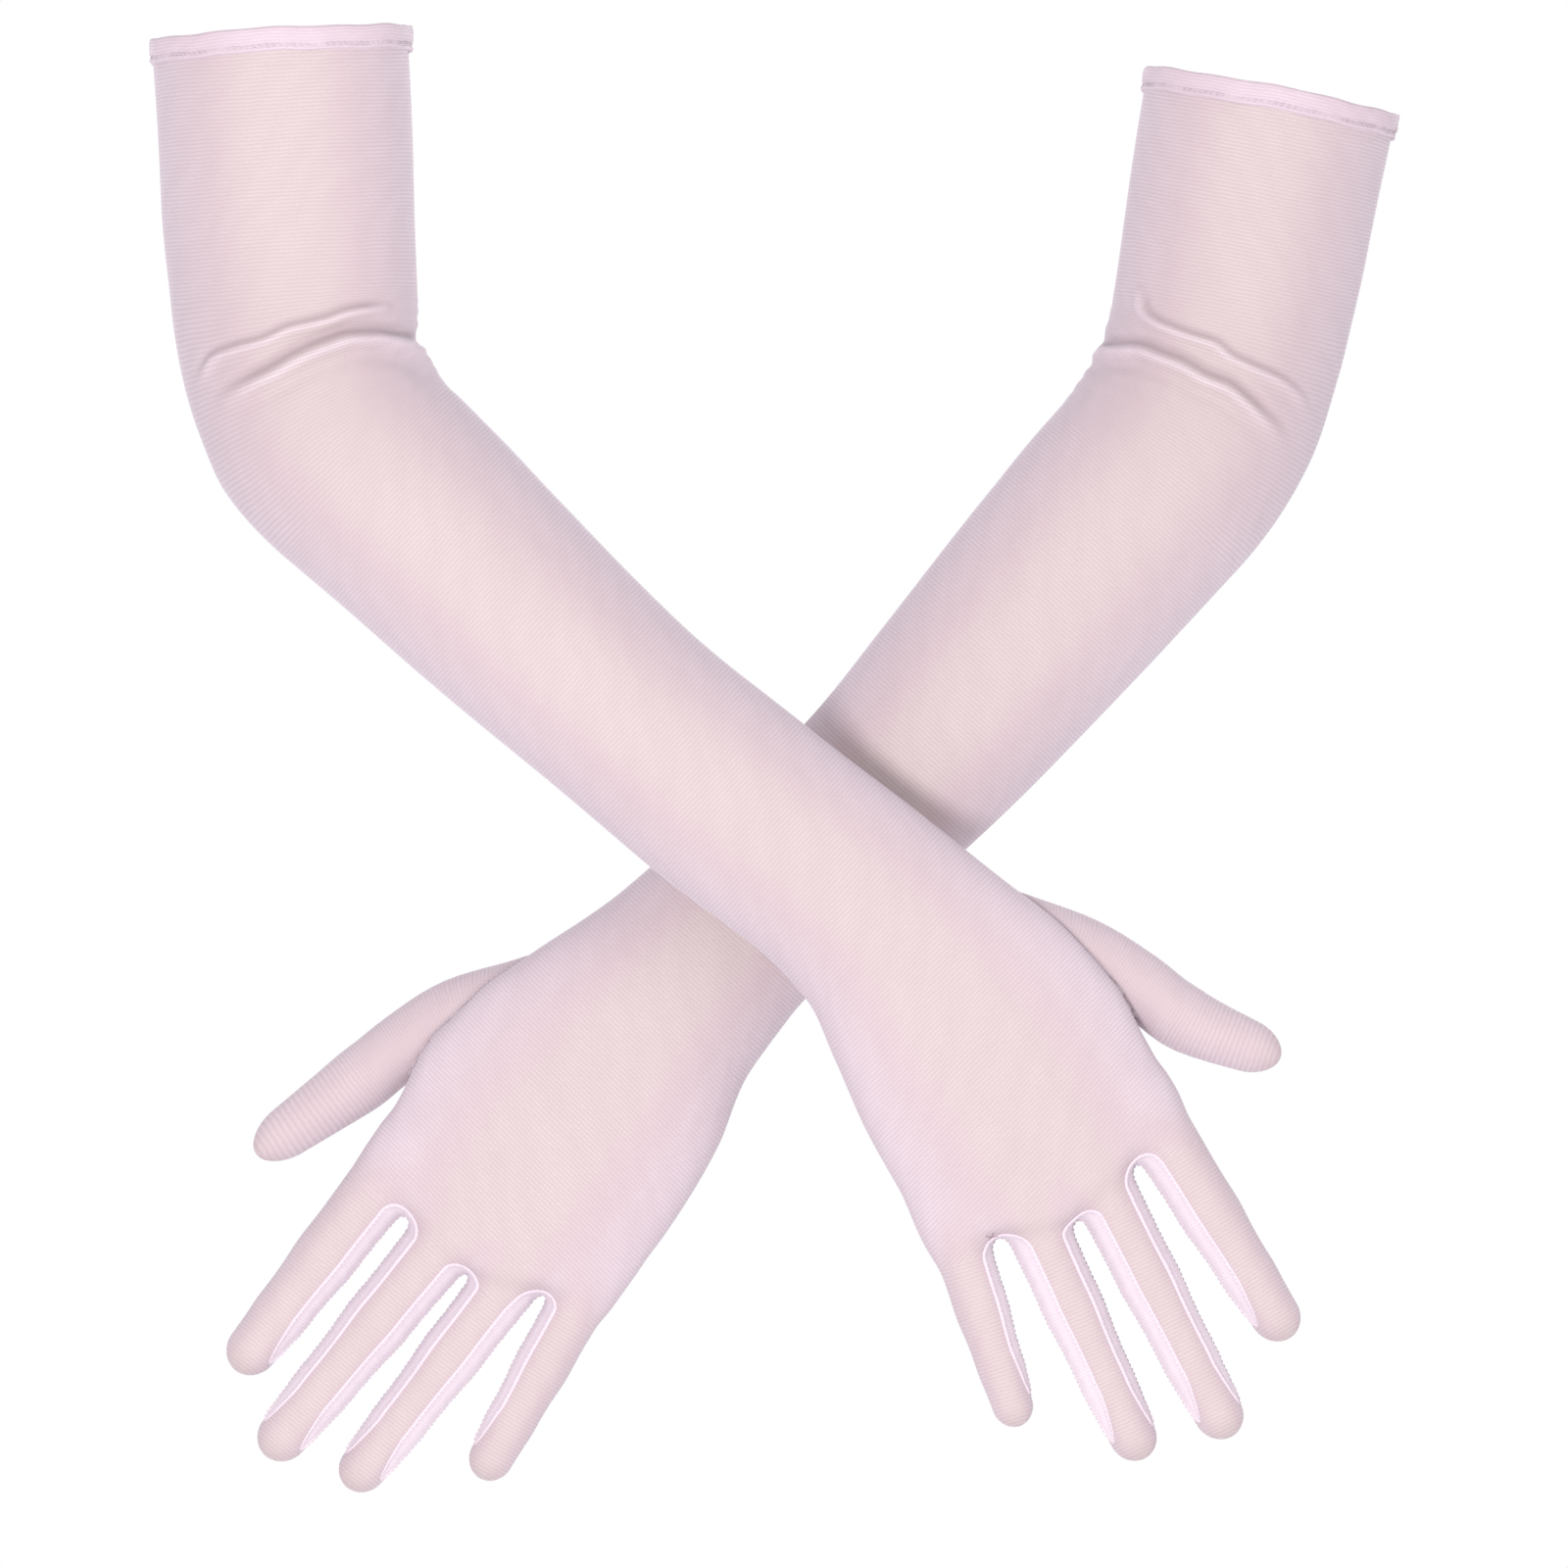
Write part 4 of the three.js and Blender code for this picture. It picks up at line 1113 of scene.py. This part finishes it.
def hand_and_fingers(glove):
    g = glove.name
    places, normals, faces, label, made = hand_pieces(glove)
    hand = made[HAND]
    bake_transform(hand, f"{g}_forearm", f"{g}_hand",
             start=(glove.wrist - WRIST_BEND * glove.fore) * MM,
             end=(glove.wrist + WRIST_BEND * glove.down) * MM)
    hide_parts(f"{g}_wrist_sleeve", f"{g}_hand", f"{g}_knuckle_band")
    for k, finger in enumerate(glove.fingers.values()):
        piece = made[k + 1]
        bend_finger(glove, finger, piece)
        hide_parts(f"{g}_{finger.name}_stall")
    thumb = made[THUMB]
    bend_thumb(glove, thumb)
    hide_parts(f"{g}_thumb_base", f"{g}_thumb_stall")
    # the seam is sewn all round where the thumb and the hand share an edge
    used, edges = only(open_edges(faces[label == THUMB]))
    sewn = stitches(f"{g}_thumb_seam", [(places[used] + normals[used] * 0.2, normals[used])], THREAD,
                    spacing=1.8, length=1.1, thickness=0.26, edges=edges)
    bend_thumb(glove, sewn)


def bend_finger(glove, finger, piece):
    ends = np.array([finger.cut, finger.cut + FINGER_BEND])
    hv = finger.fold[:2] + ends[:, None] * finger.way
    ends = glove.from_hand(np.column_stack([hv, np.full(2, finger.fold[2])]))
    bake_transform(piece, f"{glove.name}_hand", finger.body, start=ends[0] * MM, end=ends[1] * MM)


def bend_thumb(glove, piece):
    line = glove.thumb[0]
    at = THUMB_FREE * (len(line) - 1)
    start = line[int(at)]
    way = unit(line[-1] - start)
    ends = glove.from_hand(np.array([start, start + THUMB_BEND * way]))
    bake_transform(piece, f"{glove.name}_hand", f"{glove.name}_thumb",
             start=ends[0] * MM, end=ends[1] * MM)


# ------------------------------------------------------------------ strips between the fingers


def strip_path(glove, upper, lower, column):
    """Down the upper finger's side, round the crotch and up the lower one's, as rows of hand places
    across the strip, with each row's distance from the strip's pointed ends."""
    a, b = glove.fingers[upper], glove.fingers[lower]
    sa = np.append(np.arange(a.reach - STRIP_SHORT, a.cut, -0.8), a.cut)
    sb = np.append(np.arange(b.reach - STRIP_SHORT, b.cut, -0.8), b.cut)[::-1]
    turns = STRIP_TURN[glove.name]

    def rows(finger, s, way, turn):
        far = finger.reach - STRIP_SHORT - s
        half = STRIP_HALF / finger.half * np.sqrt(np.clip(far / 14, 0.02, 1))
        return finger.side_point(s[:, None], way, turn + column * half[:, None]), far

    pa, far_a = rows(a, sa, -1, turns[0])
    pb, far_b = rows(b, sb, 1, turns[1])
    near = 9.0 if upper != "ring" else 8.0
    c1 = pa[-1] - near * np.append(a.way, 0)
    c2 = pb[0] - near * np.append(b.way, 0)
    t = np.linspace(0, 1, 26)[1:-1, None, None]
    turn = curved(pa[-1], c1, c2, pb[0], t)
    turn[..., 2] = mix(pa[-1][:, 2], pb[0][:, 2], ease(t[..., 0]))
    far = np.concatenate([far_a, np.full(len(t), 99), far_b])
    return np.vstack([pa, turn, pb]), far, (len(pa) - 1, len(pa) + len(t))


def strips(glove):
    g = glove.name
    # from one edge of a strip to its middle: place across it, and height over the finger's skin
    half_columns = [-1.0, -0.97, -0.92, -0.86, -0.80, -0.72, -0.4]
    half_lift = [-0.15, 0.35, PIPING, PIPING + 0.05, 0.5, 0.24, 0.2]
    column = np.array(half_columns + [0] + [-c for c in half_columns[::-1]])
    lift = np.array(half_lift + [0.2] + half_lift[::-1])
    for upper, lower in zip(NAMES, NAMES[1:]):
        path, far, (enda, endb) = strip_path(glove, upper, lower, column)
        rows, n = len(path), len(column)
        on = glove.settle(path.reshape(-1, 3), 7, keep_depth=True)
        # even out the turn, where neighbouring rows crowd together
        grid = on.reshape(rows, n, 3)
        for _ in range(4):
            inner = grid[enda + 1:endb].copy()
            evened = (grid[enda:endb - 1] + 2 * inner + grid[enda + 2:endb + 1]) / 4
            evened = glove.settle(evened.reshape(-1, 3), 2, keep_depth=True)
            grid[enda + 1:endb] = evened.reshape(-1, n, 3)
        on = grid.reshape(-1, 3)
        out = units(glove.outward(on))
        wobble = 0.05 * np.sin(np.repeat(np.arange(rows), n) * 0.9 + np.tile(column, rows) * 2)
        height = np.tile(lift, rows) * np.repeat(ease(far / 3 + 0.3), n) + wobble
        places = glove.from_hand(on + out * height[:, None])
        normal = glove.in_frame(out)
        steps = np.linalg.norm(np.diff(path[:, n // 2], axis=0), axis=1)
        length = np.concatenate([[0], np.cumsum(steps)])
        spans = ((f"{upper}_strip_little_side", 0, enda, upper, f"{upper}_fourchette_little_side"),
                 (f"{upper}_{lower}_gusset", enda, endb, None, f"{upper}_{lower}_crotch"),
                 (f"{lower}_strip_thumb_side", endb, rows - 1, lower, f"{lower}_fourchette_thumb_side"))
        for name, first, last, finger, node in spans:
            name = f"{g}_{name}"
            pick = slice(first * n, (last + 1) * n)
            p, up = places[pick], normal[pick]
            count = last - first + 1
            piece = new_piece(name, p, facing_with(p, grid_faces(count, n, False), up), STRIP)
            lay_knit(piece, np.tile(column * STRIP_HALF, count),
                     np.repeat(length[first:last + 1], n), math.inf)
            paint(piece, "Side", np.tile(np.abs(column) ** 3, count))
            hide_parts(f"{g}_{node}")
            grid_p, grid_up = p.reshape(count, n, 3), up.reshape(count, n, 3)
            lines = [(grid_p[:, c] + grid_up[:, c] * 0.12, grid_up[:, c]) for c in (3, 11)]
            sewn = stitches(name + "_stitches", lines, THREAD, spacing=1.5, length=0.9, thickness=0.26)
            for made in (piece, sewn):
                if finger:
                    bend_finger(glove, glove.fingers[finger], made)
                else:
                    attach(made, f"{g}_hand")


def thread_ends(glove, down, wide, long=1.7):
    """Two ends of the sewing thread left crossed over a crotch."""
    lines = []
    for a, b in ((0.9, 0.5), (-0.6, 0.85)):
        k = np.linspace(-long, long, 7)
        p = glove.settle(np.column_stack([down + k * a, wide + k * b, np.full(7, -8.0)]), 8)
        out = units(glove.outward(p))
        lines.append((glove.from_hand(p + 0.95 * out), glove.in_frame(out)))
    ends = stitches(f"{glove.name}_thread_ends", lines, DARK_THREAD,
                    spacing=0.55, length=0.8, thickness=0.24)
    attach(ends, f"{glove.name}_hand")


# ------------------------------------------------------------------ light, floor and camera


def studio():
    world = bpy.data.worlds.new("Studio")
    bpy.context.scene.world = world
    world.use_nodes = True
    background = world.node_tree.nodes["Background"]
    background.inputs["Color"].default_value = (1, 1, 1, 1)
    background.inputs["Strength"].default_value = 1.0
    middle = (cad_box[0] + cad_box[1]) / 2

    def panel(name, place, size, power):
        light = bpy.data.lights.new(name, "AREA")
        light.shape, light.size, light.energy = "DISK", size, power
        lamp = bpy.data.objects.new(name, light)
        lamp.location = middle + type(middle)(place)
        lamp.rotation_mode = "QUATERNION"
        lamp.rotation_quaternion = (middle - lamp.location).to_track_quat("-Z", "Y")
        bpy.context.scene.collection.objects.link(lamp)

    panel("Key", (-0.4, -2.1, -0.3), 0.5, 41.0)
    panel("Fill", (1.4, -1.5, 0.6), 1.6, 9.0)
    panel("Back light", (0.5, 2.0, 0.5), 1.4, 24.0)

    mesh = bpy.data.meshes.new("Floor")
    radius, below, sides = 0.8, 0.19, 96
    low = cad_box[0].z - below
    rim = [(middle.x + math.cos(a) * radius, middle.y + math.sin(a) * radius, low)
           for a in np.linspace(0, 2 * math.pi, sides, endpoint=False)]
    mesh.from_pydata(rim, [], [tuple(range(sides))])
    floor = bpy.data.objects.new("Floor", mesh)
    bpy.context.scene.collection.objects.link(floor)
    pale, _, _, shader = material("Pale floor")
    shader.inputs["Base Color"].default_value = (0.9, 0.9, 0.9, 1)
    shader.inputs["Roughness"].default_value = 0.9
    mesh.materials.append(pale)

    # a long lens, level with the middle of the pair
    camera = bpy.data.objects.new("Camera", bpy.data.cameras.new("Camera"))
    bpy.context.scene.collection.objects.link(camera)
    view_wide, away, sensor = 0.464, 8.0, 36
    camera.data.sensor_width = sensor
    camera.data.lens = sensor * away / view_wide
    camera.data.clip_end = 100
    camera.location = (-0.1447, -0.04 - away, -0.2059)
    camera.rotation_euler = (math.pi / 2, 0, 0)
    bpy.context.scene.camera = camera
    bpy.context.scene.view_settings.view_transform = "Standard"


for name in ("left", "right"):
    glove = Glove(name)
    sleeve(glove)
    hem(glove)
    hand_and_fingers(glove)
    strips(glove)
thread_ends(glove, 87.5, -37.3)     # on the right glove, between ring and little finger
studio()
